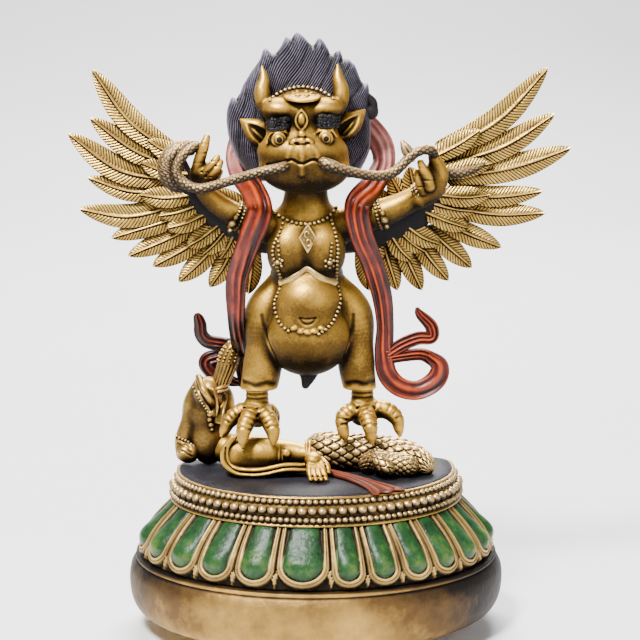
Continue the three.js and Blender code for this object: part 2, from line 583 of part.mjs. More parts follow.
// Trampled naga: bowed torso and topknot at the left, arm laid out in front, scaly tail at the right
function naga(grow = 0) {
  const { ball, limb, ribbon } = forms(grow);
  const slender = { steps: 3, sides: 7 };
  const fingers = [-1.5, -0.5, 0.5, 1.5].map((spread) => limb(
    [
      [-0.9 + 0.7 * spread, 0.6, 3.4, 0.9], [-0.8 + 0.9 * spread, -2.4, 2, 0.8],
      [-0.5 + spread, -4, 0.5, 0.6],
    ],
    { steps: 2, sides: 3 },
  ));
  return joined([
    limb([
      [-22, 14.6, 18.6, 1.8], [-20.9, 15, 21.6, 2.1], [-19.7, 15.2, 25.3, 2.3], [-18.9, 15.4, 27.6, 1.5],
    ], slender),
    ball([-22.8, 14.4, 15.4], [3.8, 3.8, 4.2], { detail: [7, 4] }),
    ball([-26.6, 16.2, 12.6], [4.2, 3.6, 5.6], { turn: [0, 12, 0], detail: [7, 5] }),
    ball([-25.6, 15.4, 6], [4.4, 4.4, 6], { detail: [7, 4] }),
    limb([
      [-28, 16.6, 15, 2.4], [-30, 16.2, 9, 2.1], [-31.6, 15.6, 3.6, 2], [-30.2, 14.8, 1.6, 1.9],
    ], slender),
    limb([[-23, 10.8, 17.6, 1.6], [-22.8, 10, 13.4, 1.4], [-22.2, 9.4, 9.6, 0.9]], { steps: 2, sides: 4 }),
    limb([[-24, 14.6, 4.6, 4.2], [-12, 10.2, 4, 4.4], [-1, 9.4, 4.2, 4]], { steps: 2, sides: 6 }),
    limb([
      [-18.4, 5, 4.3, 4.1], [-14.2, 4.6, 4, 4.3], [-9.2, 4.6, 4.4, 3.9], [-5.6, 4.2, 4.6, 3.1],
      [-2.2, 2.8, 4.6, 2.3],
    ], { steps: 4, sides: 7 }),
    ball([-1.4, 1.4, 4], [2.3, 2.4, 1.7], { detail: [6, 3] }),
    ...fingers,
    limb([
      [-3, 9.6, 4.4, 4], [3, 8.8, 4.2, 4.5], [8, 8.4, 3.9, 4.4], [13.6, 7.6, 3.6, 4.4], [19, 6, 3.4, 4.2],
      [23.4, 3.8, 2.5, 3.2], [25.6, 0.6, 1.2, 1.7],
    ], { steps: 5, sides: 7 }),
    ball([15, 2.6, 2.8], [4.4, 2.8, 2.8], { detail: [7, 4] }),
    ribbon([
      [0.4, 8, 0.8, 1.2], [4, 2.6, 0.5, 1.4], [8, -2.4, 0.4, 1.6], [12, -8, 0.3, 2.5], [14.8, -13.2, 0.3, 3.9],
    ], { steps: 5, thickness: 1.5, lying: true }),
  ]);
}

function groundCutter() {
  const wide = 3 * FOOT_HALF_WIDTH;
  const block = new THREE.BoxGeometry(wide, wide, PLINTH_HEIGHT);
  block.translate(0, 0, PLINTH_HEIGHT / 2 + CLEARANCE);
  return toSolid(block);
}

// Pieces: each is cut back by the clearance from the pieces that it is set against
const garudaSolid = garuda();
const roundGaruda = garuda(CLEARANCE);
const roundSnake = snake(CLEARANCE);
const roundNaga = naga(CLEARANCE);
const roundScarf = scarf(CLEARANCE);
const leftWing = wing(LEFT_WING_ARM, LEFT_FEATHERS, LEFT_COVERTS);
const rightWing = wing(RIGHT_WING_ARM, RIGHT_FEATHERS, RIGHT_COVERTS);
const pieces = {
  lotus_plinth: lotusPlinth(),
  garuda_figure: garudaSolid,
  snake: without(snake(), roundGaruda),
  trampled_naga: without(naga(), roundGaruda, groundCutter()),
  scarf: without(scarf(), roundGaruda, roundSnake, roundNaga),
  left_wing: without(leftWing, roundGaruda, roundSnake, roundScarf),
  right_wing: without(rightWing, roundGaruda, roundSnake, roundScarf),
};
const finishes = {
  lotus_plinth: { color: 0x4d6b3a, roughness: 0.5, metalness: 0.3 },
  garuda_figure: { color: 0x9a7a34, roughness: 0.42, metalness: 0.8 },
  snake: { color: 0xa8905c, roughness: 0.5, metalness: 0.6 },
  trampled_naga: { color: 0x8a6c34, roughness: 0.45, metalness: 0.7 },
  scarf: { color: 0xa23a22, roughness: 0.45, metalness: 0.1 },
  left_wing: { color: 0xc9a95c, roughness: 0.4, metalness: 0.8 },
  right_wing: { color: 0xc9a95c, roughness: 0.4, metalness: 0.8 },
};

const figure = new THREE.Group();
for (const [name, solid] of Object.entries(pieces)) {
  const finish = new THREE.MeshStandardMaterial(finishes[name]);
  const mesh = new THREE.Mesh(toGeometry(mainBody(solid)), finish);
  mesh.name = name;
  figure.add(mesh);
}

export default figure;
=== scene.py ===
"""Garuda on a trampled naga and a lotus plinth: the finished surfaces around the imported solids."""

import math

import bpy
import numpy as np
import openvdb
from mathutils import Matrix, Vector


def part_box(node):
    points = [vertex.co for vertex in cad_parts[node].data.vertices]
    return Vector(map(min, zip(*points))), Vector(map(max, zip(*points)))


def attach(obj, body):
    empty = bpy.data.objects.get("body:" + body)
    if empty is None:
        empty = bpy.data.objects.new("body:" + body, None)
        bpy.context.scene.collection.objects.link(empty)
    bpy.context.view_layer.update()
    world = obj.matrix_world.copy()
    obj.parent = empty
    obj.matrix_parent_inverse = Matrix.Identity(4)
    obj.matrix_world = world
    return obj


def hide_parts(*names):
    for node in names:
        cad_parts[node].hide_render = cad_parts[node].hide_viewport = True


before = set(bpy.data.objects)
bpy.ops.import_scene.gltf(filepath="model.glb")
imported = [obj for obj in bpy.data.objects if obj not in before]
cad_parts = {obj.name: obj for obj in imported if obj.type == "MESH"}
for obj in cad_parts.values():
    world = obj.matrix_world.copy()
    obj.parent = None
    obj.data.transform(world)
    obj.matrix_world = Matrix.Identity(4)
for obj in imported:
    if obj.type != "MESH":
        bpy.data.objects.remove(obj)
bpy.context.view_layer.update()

# Sizes. The figure is written in shares, hundredths of its own height, from the middle of the plinth's top.
# The plinth is written in millimetres.
MM = 0.001
FIGURE_HEIGHT = 234 * MM
SHARE = FIGURE_HEIGHT / 100
PLINTH_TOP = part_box("lotus_plinth")[1][2]
RANDOM = np.random.default_rng(7)


# Camera: the photograph's place of view, a little above the figure and to its left
CAMERA_PLACE = Vector((-45.5, -883.8, 312.5)) * MM
CAMERA_TARGET = Vector((1.6, 15, 160.5)) * MM
LENS_MM = 97.05
SENSOR_MM = 36


def add_camera():
    data = bpy.data.cameras.new("camera")
    data.lens = LENS_MM
    data.sensor_width = SENSOR_MM
    camera = bpy.data.objects.new("camera", data)
    bpy.context.scene.collection.objects.link(camera)
    camera.location = CAMERA_PLACE
    camera.rotation_euler = (CAMERA_TARGET - CAMERA_PLACE).to_track_quat("-Z", "Y").to_euler()
    bpy.context.scene.camera = camera


# Meshes
def to_metres(points):
    """Points in shares, from the middle of the plinth's top, as metres in the part's frame."""
    return np.asarray(points, float) * SHARE + np.array([0, 0, PLINTH_TOP])


# The share of its triangles that each finely sampled piece keeps
KEPT = {
    "hair": 0.33, "trunk": 0.36, "head": 0.55, "naga_tail": 0.38, "snake_body": 0.38, "scarf_cloth": 0.32,
    "right_wing_feathers": 0.42, "left_wing_feathers": 0.42, "naga_arm": 0.3, "naga_torso": 0.42,
    "petals": 0.75, "right_foot": 0.42, "left_foot": 0.42, "right_arm": 0.45, "left_arm": 0.45,
    "plinth_foot": 0.5, "naga_topknot": 0.5, "naga_cloth": 0.45, "arm_beads": 0.6, "plinth_tiers": 0.5,
    "eyebrows": 0.5, "pendant": 0.6, "tail_root": 0.5, "rib_band": 0.6, "hair_knob": 0.5,
    "body_beads": 0.6, "topknot_studs": 0.6,
}


def thin_out(piece, share):
    """Leaves a piece a share of its triangles, with its form and marks as near as that allows."""
    thinning = piece.modifiers.new("thinning", "DECIMATE")
    thinning.ratio = share
    dense = piece.data
    view = bpy.context.evaluated_depsgraph_get()
    piece.data = bpy.data.meshes.new_from_object(piece.evaluated_get(view), depsgraph=view)
    piece.modifiers.clear()
    bpy.data.meshes.remove(dense)


def add_piece(name, points, faces, finish, marks=None):
    """A piece that rides on the part, from points in metres, with one number a corner for each mark."""
    mesh = bpy.data.meshes.new(name)
    mesh.from_pydata(np.asarray(points).tolist(), [], [list(map(int, face)) for face in faces])
    for mark, values in (marks or {}).items():
        attribute = mesh.attributes.new(mark, "FLOAT", "POINT")
        attribute.data.foreach_set("value", np.asarray(values, np.float32).ravel())
    mesh.polygons.foreach_set("use_smooth", np.ones(len(mesh.polygons), bool))
    mesh.materials.append(finish)
    piece = bpy.data.objects.new(name, mesh)
    bpy.context.scene.collection.objects.link(piece)
    if name in KEPT:
        thin_out(piece, KEPT[name])
    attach(piece, "root")
    return piece


def grid_faces(rows, columns, around=False):
    """Quads over a grid of corners, joined up along its columns where it goes around."""
    steps = columns if around else columns - 1
    down, across = np.meshgrid(np.arange(rows - 1), np.arange(steps), indexing="ij")
    right = (across + 1) % columns
    quads = [down * columns + across, down * columns + right, (down + 1) * columns + right,
             (down + 1) * columns + across]
    return np.stack(quads, -1).reshape(-1, 4)


def outward(points, faces):
    """Quads turned so that they face out of the body that they enclose."""
    a, b, c, d = (points[faces[:, k]] for k in range(4))
    volume = np.einsum("ij,ij->i", a, np.cross(b, c)).sum() + np.einsum("ij,ij->i", a, np.cross(c, d)).sum()
    return faces if volume > 0 else faces[:, ::-1]


# The mark of relief on a sheet's plain back
PLAIN_RELIEF = 0.4
SPLINE_STEPS = 24


def joined_grids(grids):
    """Bodies of (corners, quads, relief) in shares as one, in metres."""
    points, faces, marks = [], [], []
    start = 0
    for corners, quads, relief in grids:
        points.append(corners)
        faces.append(outward(corners, quads) + start)
        marks.append(relief)
        start += len(corners)
    return to_metres(np.vstack(points)), np.vstack(faces), {"relief": np.clip(np.concatenate(marks), 0, 1)}


def unit(vectors):
    return vectors / np.linalg.norm(vectors, axis=-1, keepdims=True)


def directions(path):
    """Unit directions along a path of places."""
    return unit(np.gradient(path[:, :3], axis=0))


def two_sided(front, back, relief):
    """Corners, quads and relief of a sheet with a front and a plain back, closed along its sides."""
    rows, columns = relief.shape
    points = np.concatenate([front, back[:, ::-1]], axis=1).reshape(-1, 3)
    marks = np.concatenate([relief, np.full(relief.shape, PLAIN_RELIEF)], axis=1).ravel()
    return points, grid_faces(rows, 2 * columns, around=True), marks


def arc(centre, across, up, girth, end=2 * math.pi, number=13):
    """Points [x, y, z, girth] of an ellipse about a centre, from its first half axis towards its second."""
    across, up = np.array(across, float), np.array(up, float)
    return [(*(np.array(centre) + math.cos(a) * across + math.sin(a) * up), girth)
            for a in np.linspace(0, end, number)]


def spline(points, number):
    """Evenly spaced places along a smooth curve through points of any number of values."""
    points = np.asarray(points, float)
    padded = np.vstack([2 * points[0] - points[1], points, 2 * points[-1] - points[-2]])
    fine = []
    for a, b, c, d in zip(padded, padded[1:], padded[2:], padded[3:]):
        t = np.linspace(0, 1, SPLINE_STEPS, endpoint=False)[:, None]
        fine.append(0.5 * (2 * b + (c - a) * t + (2 * a - 5 * b + 4 * c - d) * t ** 2
                           + (3 * b - a - 3 * c + d) * t ** 3))
    fine = np.vstack([*fine, points[-1:]])
    run = np.concatenate([[0], np.cumsum(np.linalg.norm(np.diff(fine[:, :3], axis=0), axis=1))])
    where = np.linspace(0, run[-1], number)
    return np.stack([np.interp(where, run, fine[:, k]) for k in range(fine.shape[1])], 1)


# Clay: a solid held as signed distances on a grid, in shares, joined and carved softly and then meshed
FAR = 3.0
# What the mark of relief compares with: how far away in shares, at least how many cells, and its weight
SURROUNDINGS = [(0.3, 1, 0.09), (1.3, 2, 0.2)]


def soft_min(a, b, soft):
    near = np.maximum(soft - np.abs(a - b), 0) / soft
    return np.minimum(a, b) - near ** 2 * (soft / 4)


def blurred(field, reach):
    """The mean over a cube that reaches this many cells each way."""
    for axis in range(3):
        padding = [(reach + 1, reach) if k == axis else (0, 0) for k in range(3)]
        summed = np.cumsum(np.pad(field, padding, mode="edge"), axis=axis, dtype=np.float64)
        size = field.shape[axis]
        upper = np.take(summed, np.arange(2 * reach + 1, 2 * reach + 1 + size), axis=axis)
        field = ((upper - np.take(summed, np.arange(size), axis=axis)) / (2 * reach + 1)).astype(np.float32)
    return field


class Clay:
    """A grid of cells between two corners; a cell's size is in shares too."""

    def __init__(self, low, high, cell):
        self.low = np.array(low, float)
        self.cell = cell
        self.field = np.full(np.ceil((np.array(high) - self.low) / cell).astype(int) + 1, FAR, np.float32)

    def window(self, low, high):
        """The slices of the grid that cover a box, and the places there, an array for each axis."""
        first = np.floor((np.array(low) - self.low) / self.cell).astype(int)
        last = np.ceil((np.array(high) - self.low) / self.cell).astype(int) + 1
        first = np.clip(first, 0, self.field.shape)
        last = np.clip(last, first, self.field.shape)
        axes = [self.low[k] + self.cell * np.arange(first[k], last[k]) for k in range(3)]
        places = np.meshgrid(*[axis.astype(np.float32) for axis in axes], indexing="ij", sparse=True)
        return tuple(slice(a, b) for a, b in zip(first, last)), places

    def blend(self, window, distance, soft, cut):
        sign = -1 if cut else 1
        self.field[window] = sign * soft_min(sign * self.field[window], distance, soft)

    def ball(self, centre, radii, turn=(0, 0, 0), soft=0.8, cut=False):
        """A ball with three radii, turned by degrees about X, Y and Z."""
        centre = np.array(centre, float)
        reach = max(radii) + soft + 1
        window, (x, y, z) = self.window(centre - reach, centre + reach)
        x, y, z = x - centre[0], y - centre[1], z - centre[2]
        if any(turn):
            turned = np.array(rotation(turn).T)
            x, y, z = (row[0] * x + row[1] * y + row[2] * z for row in turned)
        a, b, c = radii
        outer = np.sqrt((x / a) ** 2 + (y / b) ** 2 + (z / c) ** 2)
        inner = np.sqrt((x / a ** 2) ** 2 + (y / b ** 2) ** 2 + (z / c ** 2) ** 2)
        self.blend(window, outer * (outer - 1) / np.maximum(inner, 1e-6), soft, cut)

    def limb(self, points, soft=0.6, cut=False, flat=(1, 1, 1), steps=7):
        """A round limb through points [x, y, z, radius]; flat squeezes it along the axes."""
        path = spline(points, steps * (len(points) - 1) + 1)
        flat = np.array(flat, float)
        reach = path[:, 3].max() + soft + 1
        window, places = self.window(path[:, :3].min(0) - reach, path[:, :3].max(0) + reach)
        whole = np.full(self.field[window].shape, FAR, np.float32)
        for a, b in zip(path, path[1:]):
            near = max(a[3], b[3]) + soft + 1
            low, high = np.minimum(a, b)[:3] - near, np.maximum(a, b)[:3] + near
            inner, (x, y, z) = self.window(low, high)
            x, y, z = ((places - start) / squeeze for places, start, squeeze in zip((x, y, z), a, flat))
            along = (b[:3] - a[:3]) / flat
            t = (x * along[0] + y * along[1] + z * along[2]) / max(along @ along, 1e-9)
            t = np.clip(t, 0, 1)
            gap = np.sqrt((x - t * along[0]) ** 2 + (y - t * along[1]) ** 2 + (z - t * along[2]) ** 2)
            distance = (gap - (a[3] + t * (b[3] - a[3]))) * flat.min()
            local = tuple(slice(i.start - w.start, i.stop - w.start) for i, w in zip(inner, window))
            whole[local] = np.minimum(whole[local], distance)
        self.blend(window, whole, soft, cut)

    def engrave(self, low, high, pattern):
        """Lowers the surface by a pattern of the place across and up, in shares, within a box."""
        window, (x, _, z) = self.window(low, high)
        self.field[window] += pattern(x, z).astype(np.float32)

    def cut_below(self, low, high, height):
        """Takes away what is lower than a height, within a box."""
        window, (x, y, z) = self.window(low, high)
        self.field[window] = np.maximum(self.field[window], height - z)

    def front(self, x, z):
        """How far back the clay's front lies at a place across and up, or its middle where there is none."""
        i = round((x - self.low[0]) / self.cell)
        k = round((z - self.low[2]) / self.cell)
        column = self.field[i, :, k]
        filled = np.nonzero(column < 0)[0]
        if len(filled) == 0:
            return self.low[1] + self.cell * len(column) / 2
        j = max(filled[0], 1)
        part = column[j - 1] / (column[j - 1] - column[j])
        return self.low[1] + self.cell * (j - 1 + part)

    def on_front(self, points, lift, girth):
        """Points (across, up) as points of a limb, lifted from the clay's front."""
        return [(x, self.front(x, z) - lift, z, girth) for x, z in points]

    def line(self, points, lift, girth, **kind):
        """A limb along the clay's front."""
        self.limb(self.on_front(points, lift, girth), **kind)

    def sample(self, values, spots):
        """Values of a grid at spots given in cells, between its corners."""
        floor = np.clip(np.floor(spots).astype(int), 0, np.array(values.shape) - 2)
        part = spots - floor
        total = 0
        for corner in np.ndindex(2, 2, 2):
            weight = np.prod(np.where(corner, part, 1 - part), axis=1)
            total = total + weight * values[tuple((floor + corner).T)]
        return total

    def piece(self, name, finish, slot, thin=0.0):
        """Meshes the clay, with a mark of how far each place stands out from its surroundings."""
        for axis in range(3):
            for end in (0, -1):
                np.moveaxis(self.field, axis, 0)[end] = FAR
        grid = openvdb.FloatGrid(FAR)
        grid.copyFromArray(self.field)
        spots, triangles, quads = grid.convertToPolygons(0.0, thin)
        relief = 0
        for away, fewest, gain in SURROUNDINGS:
            reach = max(round(away / self.cell), fewest)
            half = (reach + 0.5) * self.cell
            rise = self.sample(blurred(self.field, reach), spots) - self.sample(self.field, spots)
            relief = relief + gain * (rise * 6 / half ** 2)
        points = to_metres(self.low + spots * self.cell)
        faces = [*quads[:, ::-1].tolist(), *triangles[:, ::-1].tolist()]
        return add_piece(name, points, faces, finish, {"relief": np.clip(0.5 + relief, 0, 1)})


def rotation(turn):
    """The matrix of turns by degrees about X, then Y, then Z."""
    x, y, z = np.radians(turn)
    about_x = np.array([[1, 0, 0], [0, math.cos(x), -math.sin(x)], [0, math.sin(x), math.cos(x)]])
    about_y = np.array([[math.cos(y), 0, math.sin(y)], [0, 1, 0], [-math.sin(y), 0, math.cos(y)]])
    about_z = np.array([[math.cos(z), -math.sin(z), 0], [math.sin(z), math.cos(z), 0], [0, 0, 1]])
    return about_z @ about_y @ about_x


# Materials
class Nodes:
    """Adds nodes to a new material, in words as short as the shading allows."""

    def __init__(self, name):
        self.material = bpy.data.materials.new(name)
        self.material.use_nodes = True
        self.tree = self.material.node_tree
        self.shader = self.tree.nodes["Principled BSDF"]

    def link(self, source, target):
        if isinstance(source, (int, float, tuple)):
            target.default_value = source
        else:
            self.tree.links.new(source, target)

    def add(self, kind, **settings):
        node = self.tree.nodes.new(kind)
        for key, value in settings.items():
            setattr(node, key, value)
        return node

    def mark(self, name):
        return self.add("ShaderNodeAttribute", attribute_name=name).outputs["Fac"]

    def place(self):
        return self.add("ShaderNodeTexCoord").outputs["Object"]

    def noise(self, scale, detail=3, rough=0.55):
        node = self.add("ShaderNodeTexNoise")
        self.link(self.place(), node.inputs["Vector"])
        for socket, value in (("Scale", scale), ("Detail", detail), ("Roughness", rough)):
            node.inputs[socket].default_value = value
        return node.outputs["Fac"]

    def scaled(self, value, factor, shift, clamp=False):
        """A value times a factor, plus a shift."""
        return self.math("MULTIPLY_ADD", value, factor, shift, clamp)

    def stains(self, scale, detail, gain, rough=0.55):
        """Noise that adds or takes away up to half of its gain."""
        return self.scaled(self.noise(scale, detail, rough), gain, -gain / 2)

    def upward(self):
        """How far the surface faces up, from -1 to 1."""
        node = self.add("ShaderNodeSeparateXYZ")
        self.link(self.add("ShaderNodeNewGeometry").outputs["Normal"], node.inputs[0])
        return node.outputs[2]

    def recess(self, distance):
        node = self.add("ShaderNodeAmbientOcclusion", samples=6)
        node.inputs["Distance"].default_value = distance
        return node.outputs["AO"]

    def math(self, operation, a, b=0.0, c=0.0, clamp=False):
        node = self.add("ShaderNodeMath", operation=operation, use_clamp=clamp)
        for value, socket in zip((a, b, c), node.inputs):
            self.link(value, socket)
        return node.outputs[0]

    def ramp(self, value, stops):
        """A colour that runs through stops of (place, colour)."""
        node = self.add("ShaderNodeValToRGB")
        self.link(value, node.inputs["Fac"])
        elements = node.color_ramp.elements
        while len(elements) < len(stops):
            elements.new(0.5)
        for element, (place, colour) in zip(elements, stops):
            element.position = place
            element.color = (*colour, 1)
        return node.outputs["Color"]

    def mix(self, share, first, second):
        node = self.add("ShaderNodeMix", data_type="RGBA")
        self.link(share, node.inputs[0])
        for value, socket in ((first, node.inputs[6]), (second, node.inputs[7])):
            self.link((*value, 1) if isinstance(value, tuple) else value, socket)
        return node.outputs[2]

    def finish(self, colour, roughness, metallic, bumps, coat=0.0, shine=0.5):
        self.link(colour, self.shader.inputs["Base Color"])
        self.link(roughness, self.shader.inputs["Roughness"])
        self.link(metallic, self.shader.inputs["Metallic"])
        self.shader.inputs["Coat Weight"].default_value = coat
        self.shader.inputs["Coat Roughness"].default_value = 0.2
        self.shader.inputs["Specular IOR Level"].default_value = shine
        normal = None
        for height, distance in bumps:
            bump = self.add("ShaderNodeBump")
            bump.inputs["Distance"].default_value = distance
            bump.inputs["Strength"].default_value = 1
            self.link(height, bump.inputs["Height"])
            if normal is not None:
                self.link(normal, bump.inputs["Normal"])
            normal = bump.outputs["Normal"]
        self.link(normal, self.shader.inputs["Normal"])
        return self.material


# How far away a finish looks for recesses, in metres, and how much painted shade recesses put on paint
GOLD_REACH = 0.009
PAINT_REACH = 0.006
PAINT_RECESS_SHADE = 0.45
# Painted light and shade: how much brighter gold is painted where it faces up, and darker where it faces down
GOLD_PAINTED_TOP_LIGHT = 0.64


def antiqued_gold(name, dark, middle, light, patina=0.5, metallic=0.7, rough=(0.55, 0.33)):
    """Gold with dark patina in its recesses, worn bright on its ridges, with painted light on its tops and
    painted shade underneath.
    """
    n = Nodes(name)
    stains = n.stains(70, 5, 0.5)
    specks = n.stains(900, 2, 0.24)
    # The darkening in recesses stands for patina in the hollows and for painted shade where parts come close
    shade = n.scaled(n.recess(GOLD_REACH), patina, n.mark("relief"))
    # Painted light and shade: brighter where the surface faces up, darker where it faces down
    shade = n.scaled(n.upward(), GOLD_PAINTED_TOP_LIGHT, n.math("SUBTRACT", shade, patina + 0.06))
    shade = n.math("ADD", shade, n.math("ADD", stains, specks), clamp=True)
    colour = n.ramp(shade, [(0.12, dark), (0.46, middle), (0.88, light)])
    roughness = n.scaled(shade, rough[1] - rough[0], rough[0])
    bumps = [(n.noise(260, 4), 0.0003), (n.noise(1100, 2), 0.00012)]
    return n.finish(colour, roughness, metallic, bumps)


def painted(name, dark, middle, light, rough=0.42, coat=0.05, shine=0.35):
    """Paint with painted shade in its folds and recesses and painted highlights on its ridges."""
    n = Nodes(name)
    stains = n.stains(90, 5, 0.4)
    # Painted shade in recesses
    shade = n.scaled(n.recess(PAINT_REACH), PAINT_RECESS_SHADE, n.mark("relief"))
    shade = n.math("ADD", n.math("SUBTRACT", shade, PAINT_RECESS_SHADE), stains, clamp=True)
    colour = n.ramp(shade, [(0.15, dark), (0.5, middle), (0.95, light)])
    roughness = n.scaled(n.noise(300, 3), 0.3, rough - 0.15)
    bumps = [(n.noise(400, 4), 0.0002), (n.noise(1300, 2), 0.0001)]
    return n.finish(colour, roughness, 0.0, bumps, coat, shine)


GOLD = antiqued_gold("antiqued gold", (0.007, 0.004, 0.0015), (0.125, 0.066, 0.012), (0.74, 0.42, 0.06),
                     patina=0.6, metallic=0.93, rough=(0.64, 0.42))
DARK_GOLD = antiqued_gold("dark gold", (0.008, 0.004, 0.002), (0.1, 0.055, 0.013), (0.6, 0.36, 0.085),
                          patina=0.6, metallic=0.93)
WING_GOLD = antiqued_gold("wing gold", (0.008, 0.004, 0.002), (0.34, 0.19, 0.04), (0.9, 0.6, 0.16),
                          patina=0.6, metallic=0.9)
SNAKE_GOLD = antiqued_gold("snake gold", (0.006, 0.004, 0.003), (0.085, 0.052, 0.025), (0.46, 0.3, 0.13),
                           patina=0.6, metallic=0.75, rough=(0.62, 0.45))
PALE_GOLD = antiqued_gold("pale gold", (0.012, 0.007, 0.003), (0.22, 0.13, 0.036), (0.8, 0.55, 0.19),
                          patina=0.5, metallic=0.85)
BEAD_GOLD = antiqued_gold("bead gold", (0.02, 0.012, 0.006), (0.24, 0.15, 0.062), (0.8, 0.55, 0.24),
                          patina=0.7, metallic=0.8)
TAIL_GOLD = antiqued_gold("tail gold", (0.016, 0.01, 0.006), (0.21, 0.13, 0.05), (0.72, 0.47, 0.16),
                          patina=0.55, metallic=0.85)
HAIR = painted("hair", (0.0015, 0.0015, 0.0025), (0.005, 0.004, 0.007), (0.15, 0.125, 0.18),
               rough=0.5, coat=0.03, shine=0.3)
BLACK = painted("black", (0.002, 0.002, 0.002), (0.004, 0.003, 0.004), (0.018, 0.015, 0.017),
                rough=0.6, coat=0.0, shine=0.12)
BROW_BLACK = painted("brow black", (0.002, 0.002, 0.002), (0.003, 0.003, 0.003), (0.014, 0.012, 0.015),
                     rough=0.34, coat=0.0, shine=0.25)
CLOTH_RED = painted("cloth red", (0.05, 0.008, 0.004), (0.2, 0.035, 0.014), (0.5, 0.14, 0.06), rough=0.5)


def scarf_finish():
    """Red enamel, pinkish where it runs behind the head, with painted highlights on its folds, painted shade
    in them and underneath, and painted light on top.
    """
    n = Nodes("scarf red")
    stains = n.stains(80, 5, 0.9, 0.65)
    # Painted shade in folds and recesses, and painted light where the scarf faces up
    shade = n.scaled(n.recess(PAINT_REACH), PAINT_RECESS_SHADE, n.mark("relief"))
    shade = n.scaled(n.upward(), 0.25, n.math("SUBTRACT", shade, PAINT_RECESS_SHADE))
    shade = n.math("ADD", shade, stains, clamp=True)
    red = n.ramp(shade, [(0.12, (0.006, 0.001, 0.001)), (0.5, (0.105, 0.007, 0.002)),
                         (0.95, (0.46, 0.06, 0.009))])
    pink = n.ramp(shade, [(0.12, (0.07, 0.014, 0.012)), (0.5, (0.32, 0.09, 0.075)),
                          (0.95, (0.7, 0.33, 0.29))])
    colour = n.mix(n.mark("pink"), red, pink)
    bumps = [(n.noise(400, 4), 0.0003), (n.noise(1300, 2), 0.0001)]
    return n.finish(colour, 0.4, 0.0, bumps, coat=0.1, shine=0.3)


# Plinth, in millimetres
FOOT_HALF_WIDTH = 101.5
TOP_HALF_WIDTH = 74.5
PLINTH_HEIGHT = 78
FRONT_DEPTH_RATIO = 0.82
BACK_DEPTH_RATIO = 0.34
BACK_SQUARENESS = 4
PLINTH_SHIFT = FOOT_HALF_WIDTH * (FRONT_DEPTH_RATIO - BACK_DEPTH_RATIO) / 2
# The back's curve stays inside the flats of the plain solid
BACK_INSET = 0.973
BEAD = 5.2
SMALL_BEAD = 3.8
TIER_TOP = PLINTH_HEIGHT - 0.8
RIM_HEIGHT = 1.8
PETAL_TOP = TIER_TOP - BEAD - 2 * SMALL_BEAD - RIM_HEIGHT
PETAL_HEIGHT = 27.4
PETAL_TIP = PETAL_TOP - PETAL_HEIGHT
PETAL_TIP_HALF_WIDTH = FOOT_HALF_WIDTH - 5
PETAL_TOP_HALF_WIDTH = TOP_HALF_WIDTH + 3
SKIRT_FLARE = PETAL_TIP_HALF_WIDTH - PETAL_TOP_HALF_WIDTH
SKIRT_BULGE = 3
SKIRT_THICKNESS = 6
WIDE_PETAL = (0.487, 0.592)
PETALS_TO_RIGHT = 7
PETALS_TO_LEFT = 5
FINE_ANGLES = np.linspace(0, math.pi, 1441)
FRONT_CORNERS = 240
BACK_CORNERS = 90


def front_points(half_width, angles, z):
    half_width, angles, z = np.broadcast_arrays(half_width, angles, z)
    return np.stack([half_width * np.cos(angles),
                     PLINTH_SHIFT - half_width * FRONT_DEPTH_RATIO * np.sin(angles), z], -1)


def back_points(half_width, turns, z):
    half_width, turns, z = np.broadcast_arrays(half_width, turns, z)

    def squared(value):
        return np.sign(value) * np.abs(value) ** (2 / BACK_SQUARENESS)

    y = PLINTH_SHIFT + half_width * BACK_DEPTH_RATIO * BACK_INSET * squared(np.sin(turns))
    return np.stack([-half_width * squared(np.cos(turns)), y, z], -1)


def angles_at(half_width, shares):
    """Angles at shares of the front's length, from its right end to its left."""
    points = front_points(half_width, FINE_ANGLES, 0)
    run = np.concatenate([[0], np.cumsum(np.linalg.norm(np.diff(points, axis=0), axis=1))])
    return np.interp(np.asarray(shares) * run[-1], run, FINE_ANGLES)


def front_length(half_width):
    points = front_points(half_width, FINE_ANGLES, 0)
    return np.linalg.norm(np.diff(points, axis=0), axis=1).sum()


def plan_ring(half_width, z):
    angles = angles_at(half_width, np.linspace(0, 1, FRONT_CORNERS, endpoint=False))
    turns = np.linspace(0, math.pi, BACK_CORNERS, endpoint=False)
    return np.vstack([front_points(half_width, angles, z), back_points(half_width, turns, z)])


def turned_body(name, profile, finish):
    """A closed body from rings of the plinth's plan, through half widths and heights from below upwards."""
    profile = np.asarray(profile, float)
    rings = [plan_ring(half, z) for half, z in profile]
    number = len(rings[0])
    points = np.vstack([*rings, [[0, PLINTH_SHIFT, profile[0][1]]], [[0, PLINTH_SHIFT, profile[-1][1]]]])
    faces = grid_faces(len(rings), number, around=True).tolist()
    last = (len(rings) - 1) * number
    for i in range(number):
        after = (i + 1) % number
        faces.append([len(points) - 2, after, i])
        faces.append([len(points) - 1, last + i, last + after])
    bend = np.gradient(np.gradient(profile[:, 0])) * -0.25
    relief = np.concatenate([np.repeat(np.clip(0.55 + bend, 0, 1), number), [0.5, 0.5]])
    return add_piece(name, points * MM, faces, finish, {"relief": relief})


def petal_edges():
    start, end = WIDE_PETAL
    right = np.linspace(0, start, PETALS_TO_RIGHT + 1)
    left = np.linspace(end, 1, PETALS_TO_LEFT + 1)
    return np.concatenate([right, left])


PETAL_RIM = 3.5
PETAL_GROOVE = 0.45
PETAL_DOME = 3.1
OUTER_RIDGE = 1.1
INNER_RIDGE = 1.6
BETWEEN_PETALS = -3.2
TONGUE_POINT = 1.75
DART_HALF_WIDTH = 1.9
PETAL_STEP = 0.52


